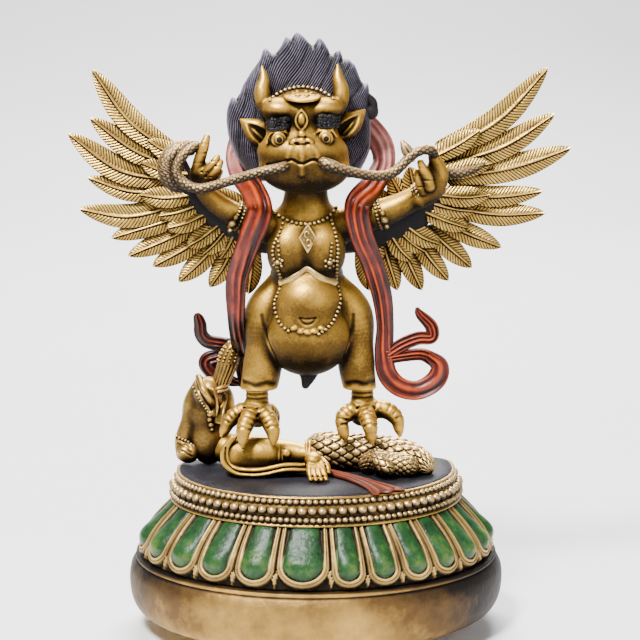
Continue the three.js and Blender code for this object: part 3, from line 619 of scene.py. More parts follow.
def petal_relief(across, half, down, length):
    """A petal's height over the skirt, in millimetres, and the marks of its green tongue and its relief."""
    end = np.minimum(half * 1.05, 0.45 * length)
    below = np.maximum(down - (length - end), 0) * half / end
    edge = half - 0.35 - np.sqrt(across ** 2 + below ** 2)
    rim_width = PETAL_RIM * (0.7 + 0.4 * np.clip(down / length, 0, 1) ** 2)
    over = edge / rim_width
    outer_ridge = OUTER_RIDGE * np.sqrt(np.clip(1 - ((over - 0.26) / 0.28) ** 2, 0, 1))
    inner_ridge = INNER_RIDGE * np.sqrt(np.clip(1 - ((over - 0.76) / 0.27) ** 2, 0, 1))
    rim = np.maximum(outer_ridge, inner_ridge)
    fullness = 0.8 + 0.2 * np.sin(math.pi * np.clip(down / length - 0.15, 0, 1))
    reach = (half - rim_width - PETAL_GROOVE) * fullness
    inside = reach - (np.abs(across) ** TONGUE_POINT + below ** TONGUE_POINT) ** (1 / TONGUE_POINT)
    swell = PETAL_DOME * (0.4 + 0.9 * np.exp(-((down / length - 0.68) / 0.26) ** 2))
    dome = swell * np.sqrt(np.clip(1 - (1 - np.clip(inside / reach, 0, 1)) ** 2, 0, 1))
    height = np.where(edge < 0, BETWEEN_PETALS, np.where(inside > 0, dome - 0.3, rim - 0.5))
    green = np.clip(inside / 0.3 + 0.5, 0, 1)
    # The mark rises with the tongue's dome and the rims' ridges and is lowest between petals: painted light
    # on the crowns, painted shade at the edges and in the gaps
    relief = np.where(inside > 0, 0.42 + 0.2 * dome / PETAL_DOME, 0.05 + 0.85 * rim / INNER_RIDGE)
    fall = np.clip((down - length + 0.8 * end) / (0.8 * end), 0, 1)
    dart = (edge < -0.2) & (half - np.abs(across) < DART_HALF_WIDTH * (1 - fall)) & (fall > 0)
    return np.where(dart, 0.2, height), green, np.where(dart, 0.75, np.where(edge < 0, 0.0, relief))


def petal_skirt():
    edges = petal_edges()
    middle_half = (PETAL_TOP_HALF_WIDTH + PETAL_TIP_HALF_WIDTH) / 2
    whole = front_length(middle_half)
    slope = math.hypot(PETAL_HEIGHT, SKIRT_FLARE)
    columns = round(whole / PETAL_STEP)
    rows = round(slope / PETAL_STEP)
    shares = np.linspace(0, 1, columns)
    down = np.linspace(0, 1, rows)
    petal = np.clip(np.searchsorted(edges, shares, "right") - 1, 0, len(edges) - 2)
    start, end = edges[petal], edges[petal + 1]
    half = (end - start) / 2 * whole
    across = (shares - (start + end) / 2) * whole
    height, green, relief = petal_relief(across[None, :], half[None, :], down[:, None] * slope, slope)
    reach = down[:, None]
    half_width = PETAL_TOP_HALF_WIDTH + SKIRT_FLARE * reach
    half_width = half_width + SKIRT_BULGE * np.sin(math.pi * reach) + height * PETAL_HEIGHT / slope
    z = PETAL_TOP - PETAL_HEIGHT * reach + height * SKIRT_FLARE / slope
    angles = np.broadcast_to(angles_at(middle_half, shares), height.shape)
    points = front_points(half_width, angles, z)
    inner = front_points(half_width[[0, -1]] - SKIRT_THICKNESS, angles[[0, -1]], z[[0, -1]] + 1)
    points = np.concatenate([inner[:1], points, inner[1:]])
    green, relief = (np.concatenate([mark[:1], mark, mark[-1:]]) for mark in (green, relief))
    add_piece("petals", points.reshape(-1, 3) * MM, grid_faces(rows + 2, columns), petal_finish(),
              {"green": green, "relief": relief})


def petal_finish():
    n = Nodes("lotus petals")
    shade = n.math("ADD", n.mark("relief"), n.stains(70, 5, 0.5))
    # Painted shade in the petals' recesses
    shade = n.math("SUBTRACT", n.scaled(n.recess(0.004), 0.4, shade), 0.4, clamp=True)
    gold = n.ramp(shade, [(0.15, (0.012, 0.007, 0.003)), (0.5, (0.22, 0.13, 0.035)),
                          (0.95, (0.8, 0.54, 0.17))])
    # Painted light and shade: the green is paler on the tongues' crowns and darker towards their edges
    mottle = n.scaled(n.noise(110, 6, 0.7), 1.6, -1.08)
    mottle = n.scaled(n.mark("relief"), 1.3, mottle, clamp=True)
    green = n.ramp(mottle, [(0.1, (0.003, 0.014, 0.005)), (0.5, (0.016, 0.07, 0.016)),
                            (0.9, (0.12, 0.17, 0.022))])
    mask = n.mark("green")
    colour = n.mix(mask, gold, green)
    metallic = n.scaled(mask, -0.65, 0.65)
    roughness = n.scaled(mask, -0.12, 0.5)
    bumps = [(n.noise(300, 4), 0.0004), (n.noise(90, 3), 0.0008)]
    return n.finish(colour, roughness, metallic, bumps, shine=0.32)


# How much cast beads differ in size, and the small ones' pitch and diameter in millimetres
SIZE_SPREAD = 0.06
SMALL_PITCH = 3.3
SMALL_DIAMETER = SMALL_BEAD * 0.92
# The half angle of a ball's polar ring, in radians
POLE = 0.02


def bead_row(name, half_width, z, diameter, pitch):
    """Beads side by side along the front."""
    number = round(front_length(half_width) / pitch)
    shares = (np.arange(number) + 0.5) / number
    centres = front_points(half_width, angles_at(half_width, shares), z)
    sizes = diameter / 2 * (1 + SIZE_SPREAD * RANDOM.standard_normal(number))
    points, faces, sphere = small_balls(centres, sizes, around=12, rows=8)
    # Painted light: each bead is painted lighter on its top and darker underneath
    relief = np.tile(0.35 + 0.45 * np.clip(sphere[:, 2] + 0.3, 0, 1), number)
    add_piece(name, points * MM, faces, BEAD_GOLD, {"relief": relief})


def small_balls(centres, radii, around, rows):
    """Corners and quads of many balls, and the ball of radius one behind them; its poles are tiny rings."""
    tilt = np.linspace(POLE, math.pi - POLE, rows)[:, None]
    turn = np.linspace(0, 2 * math.pi, around, endpoint=False)
    rings = [np.sin(tilt) * np.cos(turn), np.sin(tilt) * np.sin(turn), np.cos(tilt)]
    sphere = np.stack(np.broadcast_arrays(*rings), -1).reshape(-1, 3)
    points = centres[:, None] + radii[:, None, None] * sphere[None]
    faces = grid_faces(rows, around, around=True)[:, ::-1]
    faces = faces[None] + (np.arange(len(centres)) * len(sphere))[:, None, None]
    return points.reshape(-1, 3), faces.reshape(-1, 4), sphere


def plinth():
    half_row = SMALL_BEAD / 2
    bell = spline([(89.5, 0), (96.5, 3.4), (100.2, 9.5), (101.5, 18), (100.9, 25), (98.4, 29.6),
                   (96.6, 30.6)], 40)
    step = spline([(97.6, 31), (98, 31.9), (97.2, 32.9), (92, 33.6), (90.5, 35)], 14)
    skirt = [(PETAL_TOP_HALF_WIDTH - 3.5 + SKIRT_FLARE * (1 - t) + SKIRT_BULGE * math.sin(math.pi * t),
              PETAL_TIP + PETAL_HEIGHT * t) for t in np.linspace(0.06, 0.97, 16)]
    tier = [(PETAL_TOP_HALF_WIDTH + 0.4, PETAL_TOP), (PETAL_TOP_HALF_WIDTH + 1.4, PETAL_TOP + 0.4),
            (PETAL_TOP_HALF_WIDTH + 1.4, PETAL_TOP + RIM_HEIGHT - 0.5),
            (PETAL_TOP_HALF_WIDTH, PETAL_TOP + RIM_HEIGHT),
            (PETAL_TOP_HALF_WIDTH - 0.5, TIER_TOP - SMALL_BEAD - BEAD),
            (PETAL_TOP_HALF_WIDTH - 1, TIER_TOP - SMALL_BEAD), (TOP_HALF_WIDTH, TIER_TOP - half_row),
            (TOP_HALF_WIDTH + 1, TIER_TOP), (TOP_HALF_WIDTH + 0.8, PLINTH_HEIGHT - 0.2),
            (TOP_HALF_WIDTH - 0.6, PLINTH_HEIGHT - 0.05)]
    lower = turned_body("plinth_foot", np.vstack([bell, step]), bell_finish())
    turned_body("plinth_tiers", np.vstack([step[-1:], skirt, tier]), DARK_GOLD)
    top = [(TOP_HALF_WIDTH - 0.7, PLINTH_HEIGHT - 0.3), (TOP_HALF_WIDTH - 0.8, PLINTH_HEIGHT),
           *[(TOP_HALF_WIDTH * k, PLINTH_HEIGHT) for k in (0.9, 0.7, 0.5, 0.3, 0.1)]]
    turned_body("plinth_top", top, speckled_black())
    petal_skirt()
    bead_row("beads_upper", TOP_HALF_WIDTH + 0.9, TIER_TOP - half_row, SMALL_DIAMETER, SMALL_PITCH)
    bead_row("beads_middle", PETAL_TOP_HALF_WIDTH - 0.3, TIER_TOP - SMALL_BEAD - BEAD / 2, BEAD * 0.97, BEAD)
    bead_row("beads_lower", PETAL_TOP_HALF_WIDTH + 0.6, PETAL_TOP + RIM_HEIGHT + half_row, SMALL_DIAMETER,
             SMALL_PITCH)
    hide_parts("lotus_plinth")


def bell_finish():
    """Aged gold, with painted shade at both sides and under the petals."""
    n = Nodes("bell foot")
    x = n.add("ShaderNodeSeparateXYZ")
    n.link(n.place(), x.inputs[0])
    # Painted shade: the foot is painted darker towards both sides, where it turns from the light
    side = n.math("MULTIPLY", n.math("ABSOLUTE", n.math("ADD", x.outputs[0], 0.02)), 10.0)
    side = n.math("SUBTRACT", side, 0.4, clamp=True)
    stains = n.scaled(n.noise(45, 6, 0.65), 0.9, -0.35)
    shade = n.math("SUBTRACT", n.math("ADD", n.mark("relief"), stains), side)
    # Painted shade under the petals: recesses and the faces that turn up beneath them are painted darker
    shade = n.math("SUBTRACT", n.scaled(n.recess(0.008), 0.5, shade), 0.5, clamp=True)
    shade = n.scaled(n.upward(), -0.25, shade, clamp=True)
    colour = n.ramp(shade, [(0.05, (0.01, 0.006, 0.004)), (0.42, (0.13, 0.066, 0.015)),
                            (0.9, (0.64, 0.38, 0.08))])
    roughness = n.scaled(shade, -0.16, 0.6)
    return n.finish(colour, roughness, 0.65, [(n.noise(220, 4), 0.0004), (n.noise(900, 2), 0.00015)])


def speckled_black():
    n = Nodes("speckled black")
    specks = n.math("GREATER_THAN", n.noise(1500, 1), 0.68)
    black = n.ramp(n.noise(60, 5), [(0.3, (0.006, 0.006, 0.009)), (0.7, (0.022, 0.021, 0.029))])
    colour = n.mix(specks, black, (0.16, 0.14, 0.12))
    return n.finish(colour, 0.6, 0.0, [(n.noise(500, 4), 0.0003)], shine=0.2)


# Wings. A feather is [root, middle, tip, width] in the plane of the wing, as (across, up) in shares
LEFT_FEATHERS = [
    ((-31.5, 72.2), (-41.8, 80.2), (-49.6, 91.2), 5.6),
    ((-31.6, 69.2), (-41.4, 73.9), (-50.3, 80.6), 5.4),
    ((-31, 66.6), (-44, 69), (-55.3, 77.2), 5.8),
    ((-31, 64.6), (-41.4, 64.2), (-51.3, 67.4), 4.6),
    ((-29.5, 61.6), (-42, 58.6), (-53.3, 60.3), 5.4),
    ((-28.2, 59.2), (-37, 56.5), (-46.2, 53.7), 4.8),
    ((-26.4, 57), (-34, 53.2), (-42.5, 49.6), 4.8),
    ((-24, 55.2), (-30, 51), (-37, 47.2), 4.8),
    ((-21.6, 53.4), (-26, 48.4), (-31.2, 43.6), 4.8),
    ((-18.4, 52.4), (-21, 47), (-24.2, 42.3), 4.8),
    ((-14.4, 51.6), (-14.8, 46), (-15.4, 40.6), 5),
]
RIGHT_FEATHERS = [
    ((26.6, 72.2), (41, 79.8), (52.2, 91.6), 5.8),
    ((28.2, 69.6), (42.4, 74), (54, 81.3), 5.6),
    ((28.6, 67), (44.5, 69.2), (57.9, 73.6), 6),
    ((29, 63.8), (41, 62.6), (51.7, 63.8), 4.8),
    ((28.8, 60.6), (41, 58.6), (52.4, 58.8), 5.4),
    ((27.2, 57.8), (34.6, 54.2), (42.4, 51), 4.9),
    ((24.9, 56), (30.2, 51.2), (35.7, 46.4), 5),
    ((21.9, 54.6), (26, 48.6), (30.4, 43.4), 4.8),
    ((18.8, 53.2), (21.6, 46.8), (24.3, 41.2), 4.8),
    ((15.1, 52.4), (17, 46.6), (18.7, 41.2), 4.6),
    ((10.6, 51.6), (11.6, 46), (12.2, 41.2), 5),
]
LEFT_COVERTS = [
    ((-28.6, 72.6), (-33.6, 73.4), (-37.6, 75.8), 4.4),
    ((-28.8, 68.2), (-34.4, 69), (-39.2, 70.8), 4.6),
    ((-27.6, 63.6), (-34, 62.9), (-39.6, 63.6), 4.8),
    ((-24.4, 59.6), (-29.4, 57.2), (-33.8, 56), 4.6),
    ((-21.6, 57.2), (-25.6, 54), (-29.2, 51.8), 4.6),
    ((-18.4, 55), (-20, 51.6), (-21.6, 49.2), 4.4),
    ((-26.4, 61.4), (-31, 59.6), (-35.4, 58.8), 4.2),
    ((-20, 56), (-23, 52.4), (-25.6, 50), 4.2),
    ((-15.6, 54.6), (-16.4, 51), (-17.4, 48), 4.4),
    ((-11.6, 57), (-17.6, 61.2), (-23.6, 65), 4.4),
]
RIGHT_COVERTS = [
    ((25.6, 71.4), (31.6, 74.4), (36.8, 77.8), 4.6),
    ((27, 68.2), (33.8, 69.1), (39.8, 70.4), 4.4),
    ((27, 63.4), (33.4, 62.7), (39.4, 63.2), 4.8),
    ((24.6, 59.4), (29.8, 57.2), (34.7, 55.6), 4.6),
    ((20, 56.6), (24.2, 53.6), (28.2, 52), 4.6),
    ((16.6, 54.8), (19, 51), (21.8, 48.2), 4.4),
    ((26, 61.4), (31, 60), (36, 59.4), 4.2),
    ((18.4, 55.6), (21.6, 52.4), (24.8, 50.2), 4.2),
    ((12.4, 54), (13.4, 50.4), (14.6, 47.4), 4.4),
    ((23.6, 61), (22, 65.4), (21, 69.6), 5),
    ((21, 60), (18.8, 63.8), (16.8, 67.4), 5.2),
    ((17.4, 58.6), (15.2, 61.4), (13.4, 64.6), 4.8),
]
WING_DEPTH = 11.2
COVERT_DEPTH = 10.1
COVERT_STEP = 0.35
FEATHER_THICKNESS = 0.75
SHAFT_HEIGHT = 0.34
TROUGH_DEPTH = 0.16
BARB_DEPTH = 0.3
COURSE_STEPS = 200
COVERTS_IN_FRONT = 6
BARB_PITCH = 0.78
BARB_SLOPE = 0.8
BARB_STATIONS = (0, 0.16, 0.5, 0.84)
FEATHER_TILT = 0.5
VANE_COLUMNS = np.array([0, 0.07, 0.16, 0.26, 0.42, 0.62, 0.8, 0.93, 1])


def feather(shape, depth):
    """Corners, quads and relief of one feather; its rows follow the barbs, which slant towards the tip."""
    root, middle, tip, width = shape
    course = spline([(x, depth, z) for x, z in (root, middle, tip)], COURSE_STEPS)
    stations = np.linspace(0, 1, COURSE_STEPS)
    length = np.linalg.norm(np.diff(course, axis=0), axis=1).sum()
    u = np.concatenate([-VANE_COLUMNS[:0:-1], VANE_COLUMNS])[None, :]
    barbs = np.arange(math.ceil(length / BARB_PITCH) + 1)[:, None]
    phase = (barbs + np.array(BARB_STATIONS)).reshape(-1, 1)
    near = phase * BARB_PITCH / length

    def half_width(t):
        point = np.clip((t - 0.5) / 0.5, 0, 1)
        return width / 2 * (0.74 + 0.28 * np.clip(t / 0.4, 0, 1)) * (1 - point ** 2) ** 0.7

    t = np.clip(near + np.abs(u) * half_width(np.clip(near, 0, 1)) * BARB_SLOPE / length, 0, 1)
    half = half_width(t)
    place = np.stack([np.interp(t, stations, course[:, k]) for k in range(3)], -1)
    side = np.cross(directions(course), [0, 1, 0])
    side *= np.where(side[:, 2:3] > 0, 1, -1)
    side = np.stack([np.interp(t, stations, side[:, k]) for k in range(3)], -1)
    groove = np.isin(phase % 1, 0) * np.ones_like(u)
    reach = np.abs(u) * half
    vane = np.clip((reach - 0.42) / 0.12, 0, 1) * np.clip((1 - np.abs(u)) * half / 0.1, 0, 1)
    shaft = np.exp(-(reach / (0.34 - 0.16 * t)) ** 2)
    trough = np.exp(-((reach - 0.5 + 0.22 * t) / 0.13) ** 2)
    height = FEATHER_THICKNESS * (1 - 0.5 * np.abs(u) ** 2.5) + SHAFT_HEIGHT * shaft - TROUGH_DEPTH * trough
    height = height - BARB_DEPTH * groove * vane
    relief = 0.68 + 0.25 * shaft - 0.6 * trough - 0.68 * groove * vane - 0.5 * (np.abs(u) > 0.95)
    # Painted shade: each feather is painted darker at its root, near the arm
    relief = relief - 0.5 * np.clip(1 - t / 0.14, 0, 1)
    tilt = FEATHER_TILT * u * np.minimum(1, 1.6 * (1 - t) + 0.3)
    front = place + side * (u * half)[..., None]
    back = front + np.array([0, 1, 0]) * (tilt + 0.25 * (1 - u ** 2))[..., None]
    front = front + np.array([0, 1, 0]) * (tilt - height)[..., None]
    return two_sided(front, back, relief)


def wing(name, feathers, coverts, node):
    layers = [feather(shape, WING_DEPTH + 0.05 * i) for i, shape in enumerate(feathers)]
    layers += [feather(shape, COVERT_DEPTH - (COVERT_STEP if i < COVERTS_IN_FRONT else 0))
               for i, shape in enumerate(coverts)]
    points, faces, marks = joined_grids(layers)
    piece = add_piece(name, points, faces, WING_GOLD, marks)
    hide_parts(node)


LEFT_WING_ARM = [(-7, 10.6, 54.6, 3), (-13, 10.6, 55.2, 3.2), (-19, 10.8, 57.4, 3.2), (-25, 11, 61.4, 3),
                 (-29, 11.2, 66, 2.6), (-31, 11.2, 71, 1.8)]
RIGHT_WING_ARM = [(3, 10.6, 54.6, 3), (9, 10.6, 55.2, 3.2), (15, 10.8, 56.6, 3.2), (21.6, 11, 59, 3),
                  (26.4, 11.2, 64, 2.6), (27.4, 11.2, 71, 1.8)]
# In metres in the part's frame, and how sharply the painted shade ends there
ROOT_MIDDLE_DEPTH = 0.027
ROOT_SHARPNESS = 400
# In shares
ROOT_MARGIN = 5.5


def root_shade_finish():
    """Painted shade: black on the front of a wing's root, where the arm shades it, and gold on its back."""
    n = Nodes("wing root")
    split = n.add("ShaderNodeSeparateXYZ")
    n.link(n.place(), split.inputs[0])
    behind = n.scaled(split.outputs[1], ROOT_SHARPNESS, -ROOT_SHARPNESS * ROOT_MIDDLE_DEPTH, clamp=True)
    patchy = n.scaled(n.noise(60, 5), 0.8, 0.1, clamp=True)
    gold = n.ramp(patchy, [(0.3, (0.04, 0.022, 0.006)), (0.7, (0.32, 0.18, 0.035))])
    colour = n.mix(behind, (0.004, 0.003, 0.004), gold)
    metallic = n.math("MULTIPLY", behind, 0.85)
    return n.finish(colour, 0.6, metallic, [(n.noise(260, 4), 0.0003)], shine=0.12)


ROOT_SHADE_FINISH = root_shade_finish()


def wing_arm(name, points):
    """The root of a wing, behind the arm, painted black on its front as shade."""
    low = np.array(points)[:, :3].min(0) - ROOT_MARGIN
    high = np.array(points)[:, :3].max(0) + ROOT_MARGIN
    clay = Clay(low, high, cell=0.3)
    clay.limb(points)
    clay.limb([(x + 0.6, y + 0.2, z - 2.6, 0.8 * girth) for x, y, z, girth in points[:5]])
    clay.piece(name, ROOT_SHADE_FINISH, "wing_gold", thin=0.2)


# Garuda
# The mane's outline from low on the left, over the tufts, to low on the right, as (across, up) in shares
MANE_OUTLINE = [
    (-13.4, 66.4), (-15.8, 68.6), (-17.1, 70.6), (-18.2, 72.4), (-19.3, 75.1), (-19.9, 78), (-20.1, 80.6),
    (-19.9, 82.8), (-19.4, 84.2), (-18.8, 85.4), (-17.8, 84.8), (-17, 86.1), (-16.3, 87.9), (-14.9, 90.2),
    (-12.9, 92.9), (-12.3, 94), (-11.9, 95.5), (-11.2, 96), (-10.5, 95.3), (-9.8, 94.7), (-9, 94.9),
    (-8.1, 96), (-7.3, 97.5), (-6.7, 98.6), (-6.1, 98.2), (-5.6, 98), (-5, 98.9), (-4.3, 99.6), (-3.2, 98.8),
    (-2.1, 97.7), (-0.8, 96.4), (-0.3, 97.1), (0.3, 98), (0.8, 98.3), (1.7, 97.3), (2.6, 95.8), (3, 94.7),
    (3.7, 94.5), (4.3, 95.3), (5.2, 95.7), (5.7, 94.2), (5.9, 93.4), (6.6, 93.7), (7.3, 93.4), (8.6, 92.2),
    (9.2, 90.7), (9.9, 88.9), (10.5, 88.2), (11.5, 88.3), (11.8, 86.7), (11.8, 85), (12.1, 80.1),
    (12.2, 76.8), (12, 73.4), (11.3, 71.6), (10.2, 69.4), (8, 67.2),
]
MANE_BOX = ((-22, 0, 64), (15, 17, 101))
MANE_MIDDLE = 8.5
MANE_HALF_DEPTH = 6.4
MANE_SHOULDER = 12.0
STRAND_PITCH = 0.62
STRAND_DEPTH = 0.36
STRANDS_IN_A_LOCK = 8
LOCK_DEPTH = 0.4
STRAND_SPREAD = [(60, 9.4), (66, 12), (72, 14.6), (80, 16.6), (90, 18.6), (101, 21.4)]
STRAND_LEAN = [(60, -4), (74, -4), (80, -3), (85, -0.8), (90, 2), (95, 5), (101, 8.8)]


def inside_outline(outline, x, z):
    """How far places lie inside a closed outline, negative outside."""
    corners = np.asarray(outline, float)
    nearest = np.full(np.broadcast(x, z).shape, 1e9)
    inside = np.zeros(nearest.shape, bool)
    for (ax, az), (bx, bz) in zip(corners, np.roll(corners, -1, axis=0)):
        run = (bx - ax) ** 2 + (bz - az) ** 2
        t = np.clip(((x - ax) * (bx - ax) + (z - az) * (bz - az)) / run, 0, 1)
        gap = (x - ax - t * (bx - ax)) ** 2 + (z - az - t * (bz - az)) ** 2
        nearest = np.minimum(nearest, gap)
        if az != bz:
            crosses = ((az > z) != (bz > z)) & (x < ax + (z - az) * (bx - ax) / (bz - az))
            inside ^= crosses
    return np.where(inside, 1, -1) * np.sqrt(nearest)


def strands(x, z):
    """Combed strands that part around the face and rise to the tips, with deeper lines between locks."""
    spread = np.interp(z, *zip(*STRAND_SPREAD))
    lean = np.interp(z, *zip(*STRAND_LEAN))
    share = (x - lean) / spread
    share = share + 0.03 * np.sin(0.33 * z + 5 * share) + 0.006 * np.sin(0.8 * z + 15 * share)
    number = 22 / STRAND_PITCH
    fine = 0.5 + 0.5 * np.cos(2 * math.pi * (share * number + 0.1 * np.sin(0.5 * z + 30 * share)))
    turn = share * number / STRANDS_IN_A_LOCK + 0.3 * np.sin(0.22 * z + 7 * share)
    lock = np.abs(np.sin(math.pi * turn)) ** 0.35
    edge = np.clip(inside_outline(MANE_OUTLINE, x, z) / 1.8, 0.12, 1)
    return edge * (STRAND_DEPTH * (1 - fine) + LOCK_DEPTH * (1 - lock) - 0.16)


def hair():
    clay = Clay(*MANE_BOX, cell=0.16)
    window, (x, y, z) = clay.window(*MANE_BOX)
    inside = inside_outline(MANE_OUTLINE, x, z)
    reach = np.clip(inside / MANE_SHOULDER, 0, 1)
    depth = MANE_HALF_DEPTH * np.sqrt(1 - (1 - reach) ** 2)
    lens = (np.abs(y - MANE_MIDDLE) - depth) * (0.45 + 0.4 * reach)
    clay.field[window] = np.clip(np.maximum(lens, -inside * 0.7), -FAR, FAR)
    clay.engrave(*MANE_BOX, strands)
    clay.piece("hair", HAIR, "antiqued_gold")
    knob = Clay((9, 4, 78), (17, 13, 88), cell=0.12)
    knob.limb([(11, 8, 85.4, 1), (12.4, 7.8, 84, 1.1), (12.6, 7.6, 82.2, 1.1)], soft=0.4)
    knob.ball((12.2, 7.8, 81.9), (1.6, 1.4, 1.7), soft=0.3)
    for radius in (0.55, 1.1):
        knob.limb(circle((12.2, 6.9 + 0.3 * radius, 81.9), radius, girth=0.17), soft=0.15, cut=True)
    knob.piece("hair_knob", BLACK, "antiqued_gold")


def circle(centre, radius, girth, up=(0, 0, 1)):
    """Points [x, y, z, girth] around a circle, ready for a limb."""
    return arc(centre, (radius, 0, 0), radius * np.array(up, float), girth)


FACE_MIDDLE = -3.9
EYES = [(-8.8, 76.7), (1.3, 76.9)]
EYE_DEPTH = -4.1
EYE_RADIUS = 1.9
IRIS_RADIUS = 1.35
PUPIL_DEPTH = -5.95
PUPIL_RADIUS = 0.6
# An eyebrow's two ends across, its middle height, and its rise from one curl to the next
EYEBROWS = [(-11, -6.7, 79.95, 0.04), (-0.2, 4.3, 80.45, -0.03)]
CURL_ROWS = 4
CURLS_IN_A_ROW = 9
CURL_SCATTER = 0.08
CROWN = (-3.6, -2, 85.7)
CROWN_TURN = 13
CROWN_RADIUS = 3.7
CROWN_UP = (0, 0.974, 0.225)
CROWN_BEADS = [(-10.6, 84.9), (-9.2, 86), (-7, 87.1), (-3.6, 87.7), (-0.1, 87.1), (1.9, 86.1), (3, 85.2)]


def head_forms(clay):
    clay.ball((-3.6, 3.4, 79.4), (8.2, 7.4, 7.8))
    clay.ball((-3.6, 0.8, 83), (8.7, 4.6, 2.9), soft=1)
    for x, turn in ((-8.2, 8), (1, -8)):
        clay.ball((x, -0.9, 82.9), (4.1, 3.7, 2.4), turn=(0, turn, 0), soft=1.6)
    clay.ball((FACE_MIDDLE, -1.8, 80.8), (2.6, 2.9, 3.6), soft=1.4)
    clay.ball((-3.6, 0.8, 77.4), (7.5, 5, 3.4), soft=1.6)
    clay.ball((-3.5, 0.2, 74), (9.8, 7.5, 4.7), soft=2.2)
    clay.ball((-3, 0.2, 70.1), (9.9, 6.9, 5.7), soft=2.6)


def mouth(clay):
    """The closed beak: a wavy line with a point in its middle, over the bulging lower jaw."""
    line = [(-13.2, 71.2), (-10.4, 71.3), (-8, 71.8), (-6.2, 72.4), (-4.6, 71.7), (-3.9, 71.4), (-3.2, 71.7),
            (-1.4, 72.4), (0.4, 71.9), (3.4, 71.3), (6.8, 71.1)]
    clay.line(line, lift=0, girth=0.36, soft=0.2, cut=True)
    for side, reach in ((-1, 2.8), (1, 3.1)):
        ridge = [(FACE_MIDDLE + reach * side * k, z) for k, z in ((0.65, 75.5), (0.92, 74.4), (1.1, 73.1))]
        clay.line(ridge, lift=-0.4, girth=0.34, soft=0.7)
    middle_ridge = [(FACE_MIDDLE, z) for z in (75.2, 73.8, 72.5)]
    clay.line(middle_ridge, lift=-0.35, girth=0.36, soft=0.6)
    clay.line([(FACE_MIDDLE, 71), (FACE_MIDDLE, 69.4)], lift=-0.2, girth=0.3, soft=0.8)


def nose(clay):
    front = clay.front(FACE_MIDDLE, 76.4)
    clay.ball((FACE_MIDDLE, front - 0.2, 77.9), (0.95, 0.9, 0.85), soft=0.3)
    clay.ball((FACE_MIDDLE, front - 0.1, 76.4), (1.1, 1, 0.9), soft=0.3)
    for side in (-1, 1):
        wing_place = (FACE_MIDDLE + 1.6 * side, front, 76.3)
        clay.ball(wing_place, (1.15, 0.95, 0.85), turn=(0, 20 * side, 0), soft=0.25)
        nostril = (FACE_MIDDLE + 1.3 * side, front - 0.95, 75.9)
        clay.ball(nostril, (0.5, 0.6, 0.38), soft=0.2, cut=True)
        clay.limb([(FACE_MIDDLE + 0.7 * side, front - 0.2, 75.6, 0.2),
                   (FACE_MIDDLE + 1.6 * side, front - 0.1, 75.3, 0.22),
                   (FACE_MIDDLE + 2.6 * side, front + 0.1, 75.8, 0.2)], soft=0.3, cut=True)


def third_eye(clay):
    front = clay.front(FACE_MIDDLE, 80.8)
    clay.limb([(FACE_MIDDLE, front + 0.3, 82.5, 0.2), (FACE_MIDDLE, front, 80.7, 0.8),
               (FACE_MIDDLE, front + 0.3, 78.8, 0.2)], soft=0.15, flat=(1, 0.6, 1))
    for side in (-1, 1):
        rim = [(FACE_MIDDLE + k * side, front, z, 0.26)
               for k, z in ((0, 83), (0.85, 82), (1.25, 80.7), (0.85, 79.4), (0, 78.3))]
        clay.limb(rim, soft=0.2)


def eyes(clay):
    for x, z in EYES:
        centre = np.array([x, EYE_DEPTH, z])
        clay.ball(centre, (EYE_RADIUS, EYE_RADIUS, EYE_RADIUS), soft=0.4)
        clay.limb(circle(centre + (0, -1.3, 0), IRIS_RADIUS, girth=0.22), soft=0.25)
        clay.limb(circle(centre + (0.1, -1.75, -0.1), 0.72, girth=0.16), soft=0.12)
        for reach, up in ((2.35, 0.2), (1.9, 1)):
            lid = [(x - reach, -4.4, z + up, 0.25), (x - 0.6 * reach, -5, z + up + 1.3, 0.3),
                   (x + 0.5 * reach, -5, z + up + 1.4, 0.3), (x + reach, -4.5, z + up + 0.1, 0.25)]
            clay.limb(lid, soft=0.25)
        clay.limb([(x - 2.5, -4, z + 0.6, 0.3), (x - 2.6, -4.4, z - 0.8, 0.35)], soft=0.3)


def crown(clay):
    clay.ball(CROWN, (CROWN_RADIUS, CROWN_RADIUS, 0.8), turn=(CROWN_TURN, 0, 0), soft=0.5)
    clay.limb(circle(CROWN, CROWN_RADIUS, up=CROWN_UP, girth=0.34), soft=0.2)
    clay.limb(circle(np.array(CROWN) + (0, -0.15, 0.6), CROWN_RADIUS - 0.7, up=CROWN_UP, girth=0.2), soft=0.2,
              cut=True)
    disc = np.array(CROWN) + (0, -0.1, 0.75)
    for x, y, z, size in arc(disc, (1.9, 0, 0), 1.9 * np.array(CROWN_UP), 0.6, number=7)[:-1]:
        clay.ball((x, y, z), (size, size, size / 2), soft=0.2)


LEFT_HORN = [(-9.2, 1, 81.6, 2.1), (-11.6, 0.6, 84.2, 1.95), (-12.2, 0.8, 86.8, 1.7), (-11.8, 1.2, 89.4, 1.1),
             (-12.2, 1.8, 92, 0.3)]
RIGHT_HORN = [(2.8, 1, 81.8, 2.1), (4.5, 0.6, 84.2, 1.95), (5, 0.8, 86.8, 1.75), (4.4, 1.2, 89.6, 1.2),
              (4.3, 1.8, 92.3, 0.35)]
# An ear is its outer limb and the limb that hollows it
LEFT_EAR = ([(-10.9, 3.2, 76.4, 3.1), (-13.2, 3, 77.9, 2.8), (-16.9, 3.8, 80.5, 0.3)],
            [(-11.9, 0.9, 76.5, 1.6), (-13.5, 0.9, 78, 1.5), (-15.7, 2.1, 79.8, 0.25)])
RIGHT_EAR = ([(4.4, 3.2, 77.9, 2.9), (6.9, 3, 79.4, 2.7), (10.4, 3.8, 82.5, 0.3)],
             [(5.4, 0.9, 78, 1.55), (7.2, 0.9, 79.5, 1.45), (9.1, 2.1, 81.5, 0.25)])
